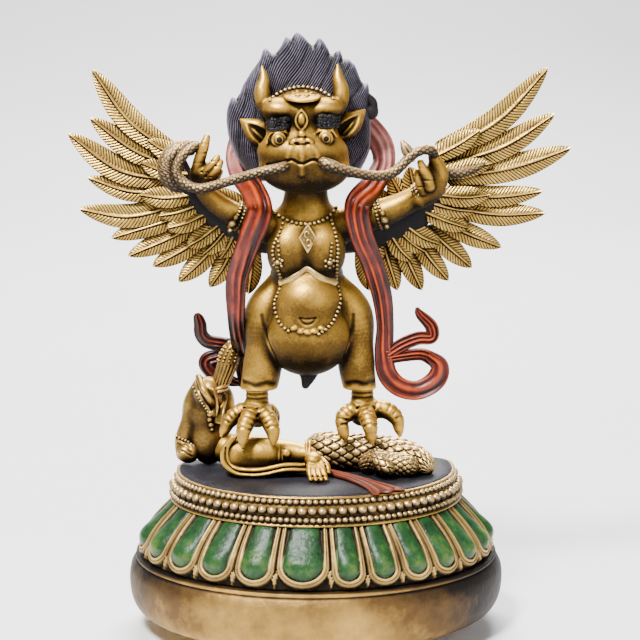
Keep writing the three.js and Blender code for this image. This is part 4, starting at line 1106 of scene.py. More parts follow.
# The fold inside an ear's hollow: a shift from each point of the hollow, and a radius
EAR_FOLD = [((0.2, 1.5, -0.6), 0.4), ((0, 1.5, -0.4), 0.45), ((0, 0.9, -0.1), 0.15)]


def horns_and_ears(clay):
    for horn in (LEFT_HORN, RIGHT_HORN):
        clay.limb(horn, soft=0.7)
    for outer, hollow in (LEFT_EAR, RIGHT_EAR):
        clay.limb(outer, soft=0.5, flat=(1, 0.6, 1))
        clay.limb(hollow, soft=0.2, cut=True)
        fold = [(*np.add(point[:3], shift), radius) for point, (shift, radius) in zip(hollow, EAR_FOLD)]
        clay.limb(fold, soft=0.2)


def head():
    clay = Clay((-20, -11, 62), (14, 13, 94), cell=0.16)
    head_forms(clay)
    horns_and_ears(clay)
    crown(clay)
    third_eye(clay)
    eyes(clay)
    mouth(clay)
    nose(clay)
    clay.piece("head", GOLD, "antiqued_gold")
    eyebrows(clay)
    beads = [(x, min(y, -0.6), z, size) for x, y, z, size in bead_string(clay, CROWN_BEADS, 0.46)]
    ball_cluster("crown_beads", beads, PALE_GOLD)


def ball_cluster(name, balls, finish):
    """Many small balls as one piece, from rows [x, y, z, radius] in shares."""
    balls = np.array(balls, float)
    points, faces, sphere = small_balls(balls[:, :3], balls[:, 3], around=10, rows=7)
    # Painted light: each ball is painted lighter on its front and top and darker below and behind
    relief = np.tile(0.45 + 0.45 * np.clip(-sphere[:, 1] * 0.6 + sphere[:, 2] * 0.6, -0.4, 1), len(balls))
    add_piece(name, to_metres(points), faces, finish, {"relief": relief})


def eyebrows(clay):
    """A thick dark patch of small curls over each eye."""
    curls = []
    for start, end, up, rise in EYEBROWS:
        for row, k in np.ndindex(CURL_ROWS, CURLS_IN_A_ROW):
            x = start + (end - start) * (k + 0.5 * (row % 2)) / 8.5 + CURL_SCATTER * RANDOM.standard_normal()
            z = up + 0.66 * (row - 1.5) + rise * (k - 4) + CURL_SCATTER * RANDOM.standard_normal()
            front = min(clay.front(x, height) for height in (z, up - 1.2, up, up + 1)) - 0.1
            curls += [(x, front + 0.2, z, 0.56), (x + 0.1, front - 0.26, z + 0.1, 0.26)]
    ball_cluster("eyebrows", curls, BROW_BLACK)
    pupils = [(x + 0.1, PUPIL_DEPTH, z - 0.1, PUPIL_RADIUS) for x, z in EYES]
    ball_cluster("pupils", pupils, BLACK)


def bead_string(clay, points, size):
    """Centres and sizes of beads along a path (across, up) on the front of some clay."""
    path = [(x, 0, z) for x, z in points]
    run = np.linalg.norm(np.diff(spline(path, 60), axis=0), axis=1).sum()
    number = max(round(run / (2 * size)), 2)
    return [(x, clay.front(x, z) - 0.35 * size, z, size) for x, _, z in spline(path, number)]


NECKLACE = [(-10.2, 60.4), (-8.8, 59.4), (-5.9, 58.2), (-2.3, 57.8), (0.7, 58.4), (2.9, 59.6), (4.2, 60.8)]
LEFT_STRAND = [(-7.8, 57.7), (-8.7, 55.5), (-9.8, 53.3), (-10.1, 51.1), (-9.2, 48.2), (-8.3, 45.5),
               (-8.5, 43.3), (-9.4, 41.1), (-9.7, 39.3), (-9.2, 37), (-8.2, 35.4), (-6.8, 34.4)]
RIGHT_STRAND = [(2.9, 58.3), (3.8, 55.4), (4.3, 52.1), (4.1, 49.5), (4.1, 45.4), (4.7, 42.8), (5, 40.3),
                (4.3, 38.3), (3, 36), (1.4, 34.7), (-0.1, 33.8)]
LEFT_INNER = [(-8.9, 54), (-8.8, 51.5), (-8.4, 49.2)]
RIGHT_INNER = [(2.9, 53.6), (2.7, 51.4), (2.4, 49.2)]
# The cluster of beads at the end of each inner string: a shift across and up, and a radius
BEAD_CLUSTER = [(0, 0, 0.75), (-0.9, 0.5, 0.45), (0.9, 0.5, 0.45), (0, -1, 0.45), (-0.8, -0.7, 0.4),
                (0.8, -0.7, 0.4)]
LEFT_HEM = 19.7
RIGHT_HEM = 19.5
RIB_BAND = [(-8.1, 44.8), (-5.6, 46), (-2.6, 47.8), (0.5, 46), (3.6, 44.7)]


def trunk_forms(clay):
    clay.limb([(-2.5, 4, 70, 5), (-2.5, 5.4, 63.5, 4.9), (-2.5, 5.8, 57.5, 6.4)], soft=1)
    clay.limb([(-12.6, 6.4, 57, 2.9), (-7.6, 6.2, 57.6, 3), (-2.5, 6, 59, 3.6), (3, 6.2, 57.8, 3),
               (8.4, 6.4, 57.2, 2.9)], soft=1.5)
    clay.ball((-2.5, 7.4, 53.2), (9.2, 6.2, 8.4), soft=2)
    clay.ball((-6.4, 2.9, 51.6), (4.9, 4.8, 6.5), turn=(0, 6, 0), soft=1.6)
    clay.ball((1.3, 2.9, 51.6), (4.9, 4.8, 6.5), turn=(0, -6, 0), soft=1.6)
    clay.ball((-2.3, 6.4, 46), (8.2, 5.6, 4), soft=1.5)
    clay.ball((-2.2, 8.8, 37), (11.4, 6.6, 8.4), soft=1.5)
    clay.ball((-2.2, 4.6, 32), (9.9, 8.7, 9), soft=1.2)
    clay.ball((-2.3, 3.4, 39.8), (7.5, 6.9, 7), soft=2)
    clay.limb([(-7.5, 8, 42, 4.6), (-11.3, 7.4, 36.4, 5.1), (-11.7, 6.9, 29.6, 4.4), (-12.5, 6.5, 23.8, 4.4),
               (-13.4, 6.5, 19, 4.1)], soft=0.8)
    clay.limb([(3, 8, 42, 4.6), (7.5, 7.4, 36.4, 5.1), (8.5, 6.9, 29.6, 4.4), (9.1, 6.5, 23.8, 4.1),
               (9.9, 6.5, 19, 3.7)], soft=0.8)
    clay.cut_below((-20, -2, 14), (-4, 14, 21), LEFT_HEM)
    clay.cut_below((2, -2, 14), (17, 14, 21), RIGHT_HEM)


def trunk_details(clay):
    left_crease = [(-12.6, 37), (-11.6, 33), (-9.8, 28.4), (-8.4, 25.4)]
    right_crease = [(8, 37), (7.6, 33), (6, 28.4), (5, 25.8)]
    for crease in (left_crease, right_crease):
        clay.line(crease, lift=0.15, girth=0.3, soft=0.5, cut=True)
    for centre, breadth in ((-13.3, 3.9), (9.8, 3.5)):
        hem = [(centre + breadth * k, 21.1 + 0.25 * math.sin(5 * k + centre))
               for k in np.linspace(-0.9, 0.9, 9)]
        clay.line(hem, lift=0.15, girth=0.3, soft=1, cut=True)
    lip = [(-4.3, 37.2), (-3.6, 36.3), (-2.6, 35.9), (-1.5, 36.3), (-0.8, 37.2)]
    clay.line(lip, lift=0.02, girth=0.17, soft=0.3, cut=True)
    clay.line([(-4.2, 37.3), (-2.6, 37.1), (-0.9, 37.3)], lift=0, girth=0.1, soft=0.3, cut=True)
    for x, z in ((-5.5, 34.9), (-4, 34.3), (-2.5, 34.1), (-1, 34.3), (0.5, 34.9)):
        clay.ball((x, clay.front(x, z) + 0.15, z), (0.9, 0.55, 0.62), soft=0.12)


def rib_band(clay):
    """The smooth raised band under the ribs, pointed in its middle."""
    band = Clay((-11, -6, 42), (7, 6, 50), cell=0.14)
    band.limb(clay.on_front(RIB_BAND, -0.35, 0.72), soft=0.2)
    band.limb(clay.on_front([(x, z - 0.55) for x, z in RIB_BAND], -0.35, 0.6), soft=0.4)
    band.piece("rib_band", PALE_GOLD, "antiqued_gold")


def pendant(clay):
    """A pointed plate with scrolls, under the necklace."""
    centre = (-2.4, 54.8)
    corners = [(0, 3.3), (2.1, 0), (0, -3.5), (-2.1, 0)]
    depth = min(clay.front(centre[0] + a, centre[1] + 0.3) for a in (-1.6, 0, 1.6)) + 0.2
    plate = Clay((-6, depth - 2, 50), (1, depth + 3, 59), cell=0.1)
    window, (x, y, z) = plate.window((-6, depth - 2, 50), (1, depth + 3, 59))
    inside = inside_outline([(centre[0] + a, centre[1] + b) for a, b in corners], x, z)
    plate.field[window] = np.maximum(np.abs(y - depth - 0.6) - 0.8, -inside)
    for start, end in zip(corners, corners[1:] + corners[:1]):
        edge = [(centre[0] + 0.86 * a, depth - 0.2, centre[1] + 0.9 * b, 0.2) for a, b in (start, end)]
        plate.limb(edge, soft=0.1)
    for up, turn in ((0.9, 1), (-0.9, -1)):
        scroll = [(centre[0] + turn * (0.2 + 0.16 * a) * math.cos(a), depth - 0.25,
                   centre[1] + up + (0.2 + 0.16 * a) * math.sin(a), 0.13) for a in np.linspace(0, 4.6, 9)]
        plate.limb(scroll, soft=0.05)
    plate.piece("pendant", PALE_GOLD, "antiqued_gold")


def trunk():
    clay = Clay((-20, -7, 17), (17, 18, 72), cell=0.22)
    trunk_forms(clay)
    trunk_details(clay)
    body = clay.piece("trunk", GOLD, "antiqued_gold")
    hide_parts("garuda_figure")
    pendant(clay)
    rib_band(clay)
    # Painted shade: the tail's root under the belly is painted black
    tail_root = Clay((-7, 0, 18), (2.5, 10, 28), cell=0.15)
    tail_root.limb([(-2, 5.2, 24.6, 2.7), (-2.1, 4.8, 22.8, 1.8), (-2.7, 4.4, 20.7, 0.9)], soft=0.4)
    tail_root.piece("tail_root", BLACK, "antiqued_gold")
    beads = []
    for path, size in ((NECKLACE, 0.46), (LEFT_STRAND, 0.44), (RIGHT_STRAND, 0.44), (LEFT_INNER, 0.38),
                       (RIGHT_INNER, 0.38)):
        beads += bead_string(clay, path, size)
    for x, z in ((-9, 49.3), (2.4, 49.2)):
        beads += [(x + across, clay.front(x + across, z + up) - 0.1, z + up, size)
                  for across, up, size in BEAD_CLUSTER]
    ball_cluster("body_beads", beads, PALE_GOLD)


LEFT_ARM = [(-8.5, 6.4, 55.4, 4.2), (-14, 5.4, 57.6, 3.3), (-18.3, 4.8, 59.4, 2.9), (-22.6, 4, 62.2, 2.5),
            (-25.4, 2.6, 65.8, 2.2), (-25.6, 1, 69.4, 2.3)]
RIGHT_ARM = [(4, 6.4, 56, 4.2), (9.4, 5.4, 58.2, 3.5), (14.4, 4.7, 59.6, 3.2), (18.6, 4.2, 61.4, 2.8),
             (22.4, 3.4, 63.4, 2.5), (25, 1.8, 66.2, 2.4)]
BRACELET_LIFT = 0.1
BRACELET_BEAD = 0.42
# The shares of each arm's length at which a row of beads goes around it
BRACELETS = ((LEFT_ARM, (0.34, 0.385, 0.43)), (RIGHT_ARM, (0.42, 0.46, 0.84, 0.875)))
BRACELET_STONES = [(-18.9, 1.5, 57.6, 0.9), (-18.1, 1.4, 59, 0.6), (-19.4, 1.6, 56.2, 0.6),
                   (14.7, 1.2, 58.3, 0.9), (15.2, 1.3, 56.9, 0.6), (14.2, 1.2, 59.8, 0.6)]


def bracelet(points, share):
    """Beads around a limb at a share of its length."""
    path = spline(points, 101)
    k = round(share * 100)
    along = unit(path[k + 1, :3] - path[k - 1, :3])
    across = unit(np.cross(along, [0, 1, 0]))
    front = np.cross(across, along)
    radius = path[k, 3] + BRACELET_LIFT
    number = round(2 * math.pi * radius / (2 * BRACELET_BEAD))
    return arc(path[k, :3], radius * across, radius * front, BRACELET_BEAD, number=number + 1)[:-1]


def finger(clay, points, bands=2):
    clay.limb(points, soft=0.25)
    path = spline(points, 12)
    for k in np.linspace(3, 9, bands).astype(int):
        girth = path[k, 3] + 0.1
        crease = arc(path[k, :3], (girth, 0, 0), (0, -girth, 0), 0.12, end=math.pi, number=5)
        clay.limb(crease, soft=0.2, cut=True)


def left_hand(clay):
    """A raised first finger and three bent fingers, around the snake."""
    clay.ball((-25.6, 1.4, 68.8), (2.6, 1.8, 3), soft=0.5)
    finger(clay, [(-26.6, 0.6, 69.4, 1.4), (-25.9, 0.1, 72.2, 1.3), (-25, -0.2, 74.8, 1.15),
                  (-24.3, 0, 76.9, 0.75)], 3)
    finger(clay, [(-25.4, 0, 68.4, 1.1), (-23.9, -1, 70.1, 1), (-22.7, -1.2, 71.7, 0.85),
                  (-22, -1, 72.7, 0.6)])
    finger(clay, [(-24.8, 0, 67.6, 1.1), (-23, -1.2, 69, 1), (-21.9, -1.3, 70.5, 0.85),
                  (-21.3, -0.9, 71.6, 0.6)])
    finger(clay, [(-23.8, 0.4, 67.2, 1), (-22.4, -0.4, 68.2, 0.9), (-21.5, -0.4, 69.4, 0.7)])


def right_hand(clay):
    """The hand from its edge: its back at the right, the thumb inside the snake's loop."""
    clay.limb([(23, 2.4, 63.2, 2.3), (25.6, 1.6, 65, 2.3), (26.7, 1, 68.4, 2.1), (25.8, 0.6, 71.4, 1.5),
               (24.8, 0, 73.2, 0.8)], soft=0.6)
    clay.ball((24.8, 0.8, 67.2), (2.8, 1.8, 3.6), turn=(0, -8, 0), soft=0.6)
    finger(clay, [(24.5, -0.5, 66, 1.3), (23.8, -1.4, 68.1, 1.2), (22.8, -2, 70, 1), (22.2, -2, 71.4, 0.75)])
    finger(clay, [(23.2, 0.6, 64.8, 1.2), (22.4, -0.3, 66.7, 1.1), (21.9, -0.7, 68.4, 0.9),
                  (21.7, -0.6, 69.4, 0.6)])


def arms():
    left = Clay((-31, -6, 50), (-5, 13, 80), cell=0.2)
    left.limb([(x, y, z, 0.93 * girth) for x, y, z, girth in LEFT_ARM])
    left_hand(left)
    left.piece("left_arm", GOLD, "antiqued_gold")
    right = Clay((1, -6, 50), (31, 13, 79), cell=0.2)
    right.limb(RIGHT_ARM[:5])
    right_hand(right)
    right.piece("right_arm", GOLD, "antiqued_gold")
    beads = [bead for arm, places in BRACELETS for share in places for bead in bracelet(arm, share)]
    ball_cluster("arm_beads", beads + BRACELET_STONES, PALE_GOLD)


LEFT_TOES = [
    ((-17.2, 5.6, 14.4), (-19.8, 5, 12.6), (-21.6, 4.4, 9.2)),
    ((-15.4, 2.6, 13.8), (-16.8, 0, 11.4), (-17, -1.2, 8)),
    ((-11.6, 2.6, 13.8), (-10.3, 0.4, 11.4), (-10.1, -0.8, 8.4)),
    ((-11.2, 9.6, 13.6), (-10, 11.6, 11.6), (-9.6, 12, 8.6)),
]
RIGHT_TOES = [
    ((8, 4.6, 14.6), (5.6, 3.4, 12.8), (6.2, 2.4, 8.4)),
    ((11, 2.4, 14), (11.6, -0.6, 12), (11.9, -1.6, 8.6)),
    ((15, 4.8, 14.8), (17.9, 4, 12.9), (18.7, 3.2, 9.2)),
    ((11.6, 9.8, 13.4), (12.6, 11.6, 11.4), (12.8, 12, 8.6)),
]
# Rings of skin around an ankle; stations along a toe, those of its wrinkles and the start of its claw
ANKLE_RINGS = 5
TOE_STATIONS = 31
WRINKLES = (9, 12, 15, 18, 21)
NAIL = 23


def foot(name, ankle, toes):
    """A foot from its ankle; each toe is its knuckle, its bend and the tip of its claw."""
    x, y, z = ankle
    low = np.min([*np.vstack(toes), ankle], axis=0) - 3
    high = np.max([*np.vstack(toes), ankle], axis=0) + 3
    clay = Clay(low, (high[0], high[1], z + 10), cell=0.17)
    clay.limb([(x, y, z + 8, 2.3), (x, y, z + 3, 2.4), (x, y - 0.6, z - 0.2, 3.2)])
    for ring in range(ANKLE_RINGS):
        radius = 2.5 if ring == 0 else 2.25
        clay.limb(circle((x, y, z + 0.9 + 1.05 * ring), radius, up=(0, 1, 0), girth=0.36), soft=0.5)
    for knuckle, bend, claw in toes:
        toe = [(x, y, z, 2.4), (*knuckle, 2.1), (*bend, 1.75), (*claw, 0.5)]
        clay.limb(toe, soft=0.9)
        path = spline(toe, TOE_STATIONS)
        for place in WRINKLES:
            along = unit(path[place + 1, :3] - path[place - 1, :3])
            across = unit(np.cross(along, [0.1, 0.2, 1]))
            over = np.cross(across, along)
            over *= np.sign(over[2] - over[1])
            girth = path[place, 3] + 0.12
            wrinkle = arc(path[place, :3], girth * across, girth * over, 0.24, end=math.pi, number=7)
            clay.limb(wrinkle, soft=0.35, cut=True)
        nail = path[NAIL, :3]
        clay.limb([(*nail, 1.45), (*(0.5 * nail + 0.5 * np.array(claw)), 1.2), (*claw, 0.5)], soft=0.15)
    clay.piece(name, GOLD, "antiqued_gold")


# Snake, in shares: from one corner of the mouth to the left hand, and from the other to the right hand
LEFT_SNAKE = [
    (-6.6, -4, 71.6, 0.9), (-7.6, -6.2, 71, 1.1), (-9.6, -7, 70.5, 1.15), (-13.2, -6.8, 69.7, 1.1),
    (-18.6, -5, 68, 1.05), (-22.7, -3.6, 66.7, 1.05), (-26.3, -3, 66, 1.1), (-29.3, -2.4, 67.1, 1.15),
    (-30.8, -1.9, 69, 1.15), (-30.6, -1.5, 71.2, 1.15), (-29.2, -1.2, 73.4, 1.1), (-27.3, -0.6, 74.8, 1),
    (-26, 0.4, 75.2, 0.8),
]
LEFT_COIL = [
    (-28.4, 0.4, 66.2, 1.2), (-31.2, 0.2, 66.6, 1.7), (-32.8, 0.4, 68.6, 2.1), (-32.8, 0.8, 71.2, 2.3),
    (-31.4, 1, 73.3, 2.2), (-29.2, 1.4, 74.4, 2), (-27, 1.8, 74.6, 1.6), (-25.8, 2, 74, 1),
]
RIGHT_SNAKE = [
    (-0.2, -4, 72, 0.9), (0.6, -6.4, 71.9, 1.2), (2.4, -7.2, 71.1, 1.4), (5, -7.2, 70.2, 1.2),
    (8.7, -6.4, 69.3, 1.1), (13, -5, 68.7, 1.1), (16, -3.8, 69.3, 1.1), (18.1, -3.4, 71, 1.1),
    (19.9, -3.2, 72.8, 1.1), (22.2, -3, 74.1, 1.1), (24.4, -2, 74, 1.1), (25.6, 0.6, 72.4, 1.1),
    (26.6, 2.8, 70.4, 1.1), (28, 4.2, 69, 1.15), (30.4, 5, 68.4, 1.2), (33, 5.6, 68.6, 1.1),
    (35.6, 6.2, 69.4, 0.8), (37.8, 6.6, 70.6, 0.35),
]
SCALE_LENGTH = 0.8


def scale_pattern(lane, run):
    """How high a skin of round-ended scales stands, from 0 to 1, and how near a scale's edge is."""
    row = np.floor(run)
    part = run - row
    across = (lane + 0.5 * (row % 2)) % 1 - 0.5
    before = (lane + 0.5 * ((row + 1) % 2)) % 1 - 0.5
    edge = 0.95 - 3.4 * before ** 2 - part
    covered = edge > 0
    height = np.where(covered, (part + 1) / 1.95, part / 1.95)
    groove = np.exp(-(edge / 0.16) ** 2)
    side = np.where(covered, before, across)
    return np.clip(height * (1 - 1.1 * side ** 2), 0, 1), groove


def scaled_tube(points, around, rows, pitch=SCALE_LENGTH, depth=0.16, flat_below=0.0):
    """Corners, quads and relief of a tube under overlapping scales, closed at both ends."""
    path = spline(points, rows)
    along = directions(path)
    side = unit(np.cross(along, [0, 0, 1.0]))
    over = np.cross(side, along)
    turn = np.linspace(0, 2 * math.pi, around, endpoint=False)
    run = np.concatenate([[0], np.cumsum(np.linalg.norm(np.diff(path[:, :3], axis=0), axis=1))])[:, None]
    girth = path[:, 3:4]
    number = max(round(2 * math.pi * float(np.median(girth)) / (pitch * 1.25)), 6)
    height, groove = scale_pattern(turn[None, :] * number / (2 * math.pi), run / pitch)
    ends = np.minimum(run, run[-1] - run)
    closing = np.sqrt(np.clip(1 - (1 - np.clip(ends / np.maximum(girth, 0.3), 0, 1)) ** 2, 0.02, 1))
    radius = (girth + depth * (height - 0.5 - 0.6 * groove)) * closing
    sections = path[:, None, :3] + radius[..., None] * (np.cos(turn)[None, :, None] * side[:, None]
                                                        + np.sin(turn)[None, :, None] * over[:, None])
    if flat_below:
        sections[..., 2] = np.maximum(sections[..., 2], flat_below)
    relief = 0.4 + 0.5 * height - 0.6 * groove
    return sections.reshape(-1, 3), grid_faces(rows, around, around=True), relief.ravel()


def snake():
    grids = [scaled_tube(LEFT_SNAKE, around=40, rows=620), scaled_tube(LEFT_COIL, around=56, rows=260),
             scaled_tube(RIGHT_SNAKE, around=40, rows=620)]
    points, faces, marks = joined_grids(grids)
    piece = add_piece("snake_body", points, faces, SNAKE_GOLD, marks)
    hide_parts("snake")
    tip = Clay((15, -6, 69), (23, 1, 79), cell=0.12)
    tip.limb([(20.3, -3, 72.2, 0.7), (19.2, -3, 74, 1.25), (18.2, -2.6, 75.8, 0.55)], flat=(1, 0.8, 1))
    tip.limb([(19.9, -3.9, 73, 0.12), (19, -3.9, 74.4, 0.14), (18.4, -3.5, 75.6, 0.1)], soft=0.3, cut=True)
    tip.piece("snake_tip", SNAKE_GOLD, "snake_gold")


# Scarf
SCARF_THICKNESS = 0.7
SCARF_RUNS = [
    ([
        (-16.2, 15.4, 18.2, 1.4), (-16.6, 15.8, 22.6, 2), (-17.1, 13.8, 26.2, 2), (-17.7, 8.6, 31, 2),
        (-18.2, 5, 36, 2), (-18.2, 3.6, 43.8, 2.4), (-16.9, 1.4, 49.2, 2.5),
        (-15, -0.4, 54.7, 2.7), (-13, -0.6, 60.5, 2.9), (-14.2, 3.8, 64.6, 2.8), (-17, 10, 68.4, 2.6),
        (-17.5, 14.6, 73.1, 2.6), (-14, 16, 80, 2.6), (-3.3, 16.8, 84.4, 2.6), (7.6, 16, 81.6, 2.6),
        (14.2, 15, 75.7, 2.8), (15.4, 11.6, 70.4, 2.6), (12.3, 5, 65.8, 2.8), (8.5, -0.4, 62, 2.8),
        (9.3, -0.4, 55.9, 2.6), (12, 1.4, 49, 2.5), (14.4, 3.4, 41.3, 2.3), (15.3, 4.8, 34.3, 2),
        (15.2, 5.6, 28.4, 2.2), (15.8, 5.6, 23.2, 2.3), (18.6, 5.6, 19.9, 2.3), (23, 5.6, 19, 2.3),
        (27, 5.6, 21.3, 2.4), (27.8, 5.6, 24.6, 2.1), (25, 5.6, 27.2, 1.3),
    ], 660),
    ([(27.2, 5.8, 25.4, 1.6), (24, 5.8, 27.2, 1.5), (20, 5.8, 27, 1.4), (16, 5.8, 26.4, 1.4)], 50),
    ([(16, 5.6, 27.4, 1.4), (19.3, 5.6, 29.6, 1.6), (22.9, 5.6, 31, 1.6), (26, 5.6, 31.2, 1.5),
      (25.8, 5.6, 33.8, 1.5), (23.3, 5.6, 36.5, 1.1), (22.5, 5.6, 38, 0.4)], 80),
    ([(-17.8, 8.6, 30.9, 1.6), (-17.5, 13.6, 29.8, 1.5), (-19.5, 19, 27.6, 1.6), (-22.5, 19.6, 27.7, 1.7),
      (-25, 19.6, 28.3, 1.7), (-26.4, 19.6, 30, 1.6), (-26.6, 19.6, 32.3, 1.5), (-27.1, 19.6, 34.2, 1.1),
      (-27.2, 19.6, 34.9, 0.5)], 110),
    ([(-17.8, 12, 27, 2), (-18.8, 17, 25.2, 2.2), (-21.6, 20, 24.4, 2.2), (-24.8, 20.2, 23.4, 2.2),
      (-24.4, 20.2, 21.5, 2), (-22.3, 20, 19.9, 1.8), (-19.8, 19.6, 18.9, 1.5), (-17.4, 19, 18.3, 0.8)], 110),
]
SCARF_FOLDS = 3
FOLD_DEPTHS = (0.24, 0.16, 0.08)
RIBBON_COLUMNS = 29
ROWS_IN_A_WAVE = 60


def ribbon(points, rows):
    """Corners, quads and relief of a folded ribbon with a rounded section, its breadth across the view."""
    path = spline(points, rows)
    along = directions(path)
    side = unit(np.cross(along, [0, 1, 0]))
    front = np.cross(side, along)
    front *= np.where(front[:, 1:2] > 0, -1, 1)
    u = np.linspace(-1, 1, RIBBON_COLUMNS)[None, :]
    t = np.linspace(0, 1, rows)[:, None] * rows / ROWS_IN_A_WAVE
    wander = 0.35 * np.sin(1.7 * t) + 0.2 * np.sin(4.1 * t + 1)
    deep, middling, slight = FOLD_DEPTHS
    folds = deep * np.cos(math.pi * SCARF_FOLDS * (u + 0.12 + 0.3 * wander) + 1.2 * np.sin(0.9 * t + 2 * u))
    folds = folds + middling * np.cos(4.4 * u + 2.6 * wander)
    folds = folds + slight * np.cos(11 * u + 3 * np.sin(2.3 * t))
    edge = np.sqrt(np.clip(1 - np.abs(u) ** 6, 0, 1))
    half = path[:, 3:4]
    middle = path[:, None, :3] + side[:, None] * (u * half)[..., None]
    fronts = middle + front[:, None] * ((SCARF_THICKNESS + folds) * edge)[..., None]
    backs = middle - front[:, None] * (0.35 * edge)[..., None]
    # The relief mark is high on the folds' ridges and low in their troughs and at the edges: painted
    # highlight and painted shade
    return two_sided(fronts, backs, 0.55 + 0.75 * folds - 0.3 * (1 - edge))


def scarf():
    points, faces, marks = joined_grids([ribbon(run, rows) for run, rows in SCARF_RUNS])
    shares = (points - np.array([0, 0, PLINTH_TOP])) / SHARE
    marks["pink"] = np.clip((shares[:, 1] - 6) / 6, 0, 1) * np.clip((shares[:, 2] - 60) / 4, 0, 1)
    # Painted shadow: the lower ends of the scarf on the left are painted darker
    low = np.clip((36 - shares[:, 2]) / 8, 0, 1) * (shares[:, 0] < 0)
    marks["relief"] = marks["relief"] - 0.28 * low
    piece = add_piece("scarf_cloth", points, faces, scarf_finish(), marks)
    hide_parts("scarf")


# Trampled naga
TAIL = [(-3, 9.6, 4.4, 4), (3, 8.8, 4.2, 4.5), (8, 8.4, 3.9, 4.4), (13.6, 7.6, 3.6, 4.4), (19, 6, 3.4, 4.2),
        (23.4, 3.8, 2.5, 3.2), (25.6, 0.6, 1.2, 1.7)]
FRONT_COIL = [(9.6, 3.2, 1.2, 1.2), (12.6, 2.6, 3.4, 2.5), (15.6, 1.6, 2.6, 2.9), (19.6, 1.2, 2.4, 2.8),
              (22.8, 0.4, 1.6, 2.1)]
LOBE = [(11.6, 0.8, 6.2, 0.4), (13, -0.6, 4.8, 1.5), (15, -1.8, 3, 1.9), (16.8, -2.4, 1.6, 1.2)]
GROUND = 0.13
NAGA_STRANDS = 9
COMBED_GROOVES = 16


def naga_torso():
    """The bowed head with combed hair, a smooth band and beads, over a bent back and a hand on the ground."""
    clay = Clay((-37, 4, -1), (-14, 23, 27), cell=0.18)
    clay.ball((-24.8, 13.2, 17.4), (3.4, 3.6, 3.8), turn=(0, 30, 0), soft=1)
    clay.ball((-24.8, 14.6, 12.4), (4.6, 4, 5.6), turn=(0, 10, 0), soft=1)
    clay.ball((-24.8, 15, 6), (4.6, 4.4, 6), soft=1)
    clay.ball((-21.4, 15.8, 13.8), (2.7, 3.2, 5), soft=0.5)
    clay.limb([(-26.4, 14.4, 19, 1.9), (-28, 15, 14.6, 2.6), (-28.8, 15.2, 10.4, 2.4), (-30.4, 15, 5.8, 2.3),
               (-30.4, 14.4, 2.8, 2.1)], soft=0.6)
    clay.ball((-29.6, 12.6, 3.2), (2.6, 1.6, 2.4), soft=0.4)
    band = [(-27, 21), (-25.9, 18.8), (-24.4, 16.4), (-23.4, 14.5), (-23.6, 12.6)]
    clay.line(band, lift=0.1, girth=0.75, soft=0.15)
    clay.line([(x - 0.9, z - 1.2) for x, z in band[:4]], lift=0, girth=0.35, soft=0.15)
    for fall in np.linspace(0, 1, NAGA_STRANDS):
        strand = [(-24.4 + 3.2 * fall, 19 - 0.8 * fall), (-23.2 + 2.6 * fall, 16.4),
                  (-22.9 + 1.6 * fall, 13.8), (-23.3 + 1.4 * fall, 11)]
        clay.line(strand, lift=0.05, girth=0.28, soft=0.1, steps=4)
    for x, z, size in ((-24.3, 12.9, 0.75), (-24.4, 11.5, 0.65), (-24.2, 10.2, 0.6), (-24, 9.1, 0.4)):
        clay.ball((x, clay.front(x, z), z), (size, 0.6, size), soft=0.15)
    for k in range(3):
        across = [(-32.4 + 0.3 * k, 6.6 - 1.2 * k), (-30.6 + 0.2 * k, 5.9 - 1.1 * k),
                  (-29 + 0.1 * k, 4.6 - 0.9 * k)]
        clay.line(across, lift=0, girth=0.16, soft=0.3, cut=True)
    clay.cut_below((-37, 4, -1), (-14, 23, 2), GROUND)
    piece = clay.piece("naga_torso", DARK_GOLD, "dark_gold")
    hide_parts("trampled_naga")
    beads = bead_string(clay, [(-28.2, 18.6), (-27, 16.8), (-25.8, 14.8), (-24.9, 13.4)], 0.34)
    beads += bead_string(clay, [(-32.3, 6.9), (-30.6, 6.4), (-28.9, 5.4)], 0.34)
    ball_cluster("naga_beads", beads, PALE_GOLD)


def topknot():
    """The naga's bound hair: combed below, studded above, tied at its foot."""
    clay = Clay((-27, 7, 14), (-13, 19, 32), cell=0.14)
    axis = [(-22.2, 12.4, 18.3, 1.6), (-21.8, 12.6, 19.9, 2), (-20.9, 12.9, 22.3, 2.25),
            (-19.8, 13.1, 25.5, 2.4), (-19.1, 13.2, 27.5, 2)]
    clay.limb(axis, soft=0.3)
    path = spline(axis, 25)
    for a in np.linspace(0, 2 * math.pi, COMBED_GROOVES, endpoint=False):
        clay.limb([(*(p[:3] + (p[3] + 0.05) * np.array([math.cos(a), math.sin(a), 0.2])), 0.14)
                   for p in path[2:17:3]], soft=0.25, cut=True)
    for turn in (-1, 1):
        tie = arc((-22.3, 12.4, 18.5 + 0.4 * turn), (1.9, 0, 0.5), (0, 1.9, 0), 0.4, number=17)
        clay.limb(tie, soft=0.15, steps=3)
    clay.piece("naga_topknot", DARK_GOLD, "dark_gold")
    studs = [(*(path[k, :3] + path[k, 3] * np.array([math.cos(a), math.sin(a), 0.25])), 0.36)
             for k in range(16, 25, 2) for a in np.linspace(0, 2 * math.pi, 12)[:-1] + 0.3 * k]
    studs += arc(path[24, :3] + (0, 0, 1.6), (0.9, 0, 0), (0, 0.9, 0), 0.36, number=7)[:-1]
    ball_cluster("topknot_studs", studs, DARK_GOLD)


HEM = [(-19.4, 2.6, 9.2), (-21.4, 2.4, 6.4), (-21.2, 1.8, 3.2), (-18.8, 1.2, 1.3), (-15.6, 0.8, 0.9),
       (-12.4, 0.6, 1.1), (-7.5, 0.8, 2), (-2.8, 1.2, 1.8)]


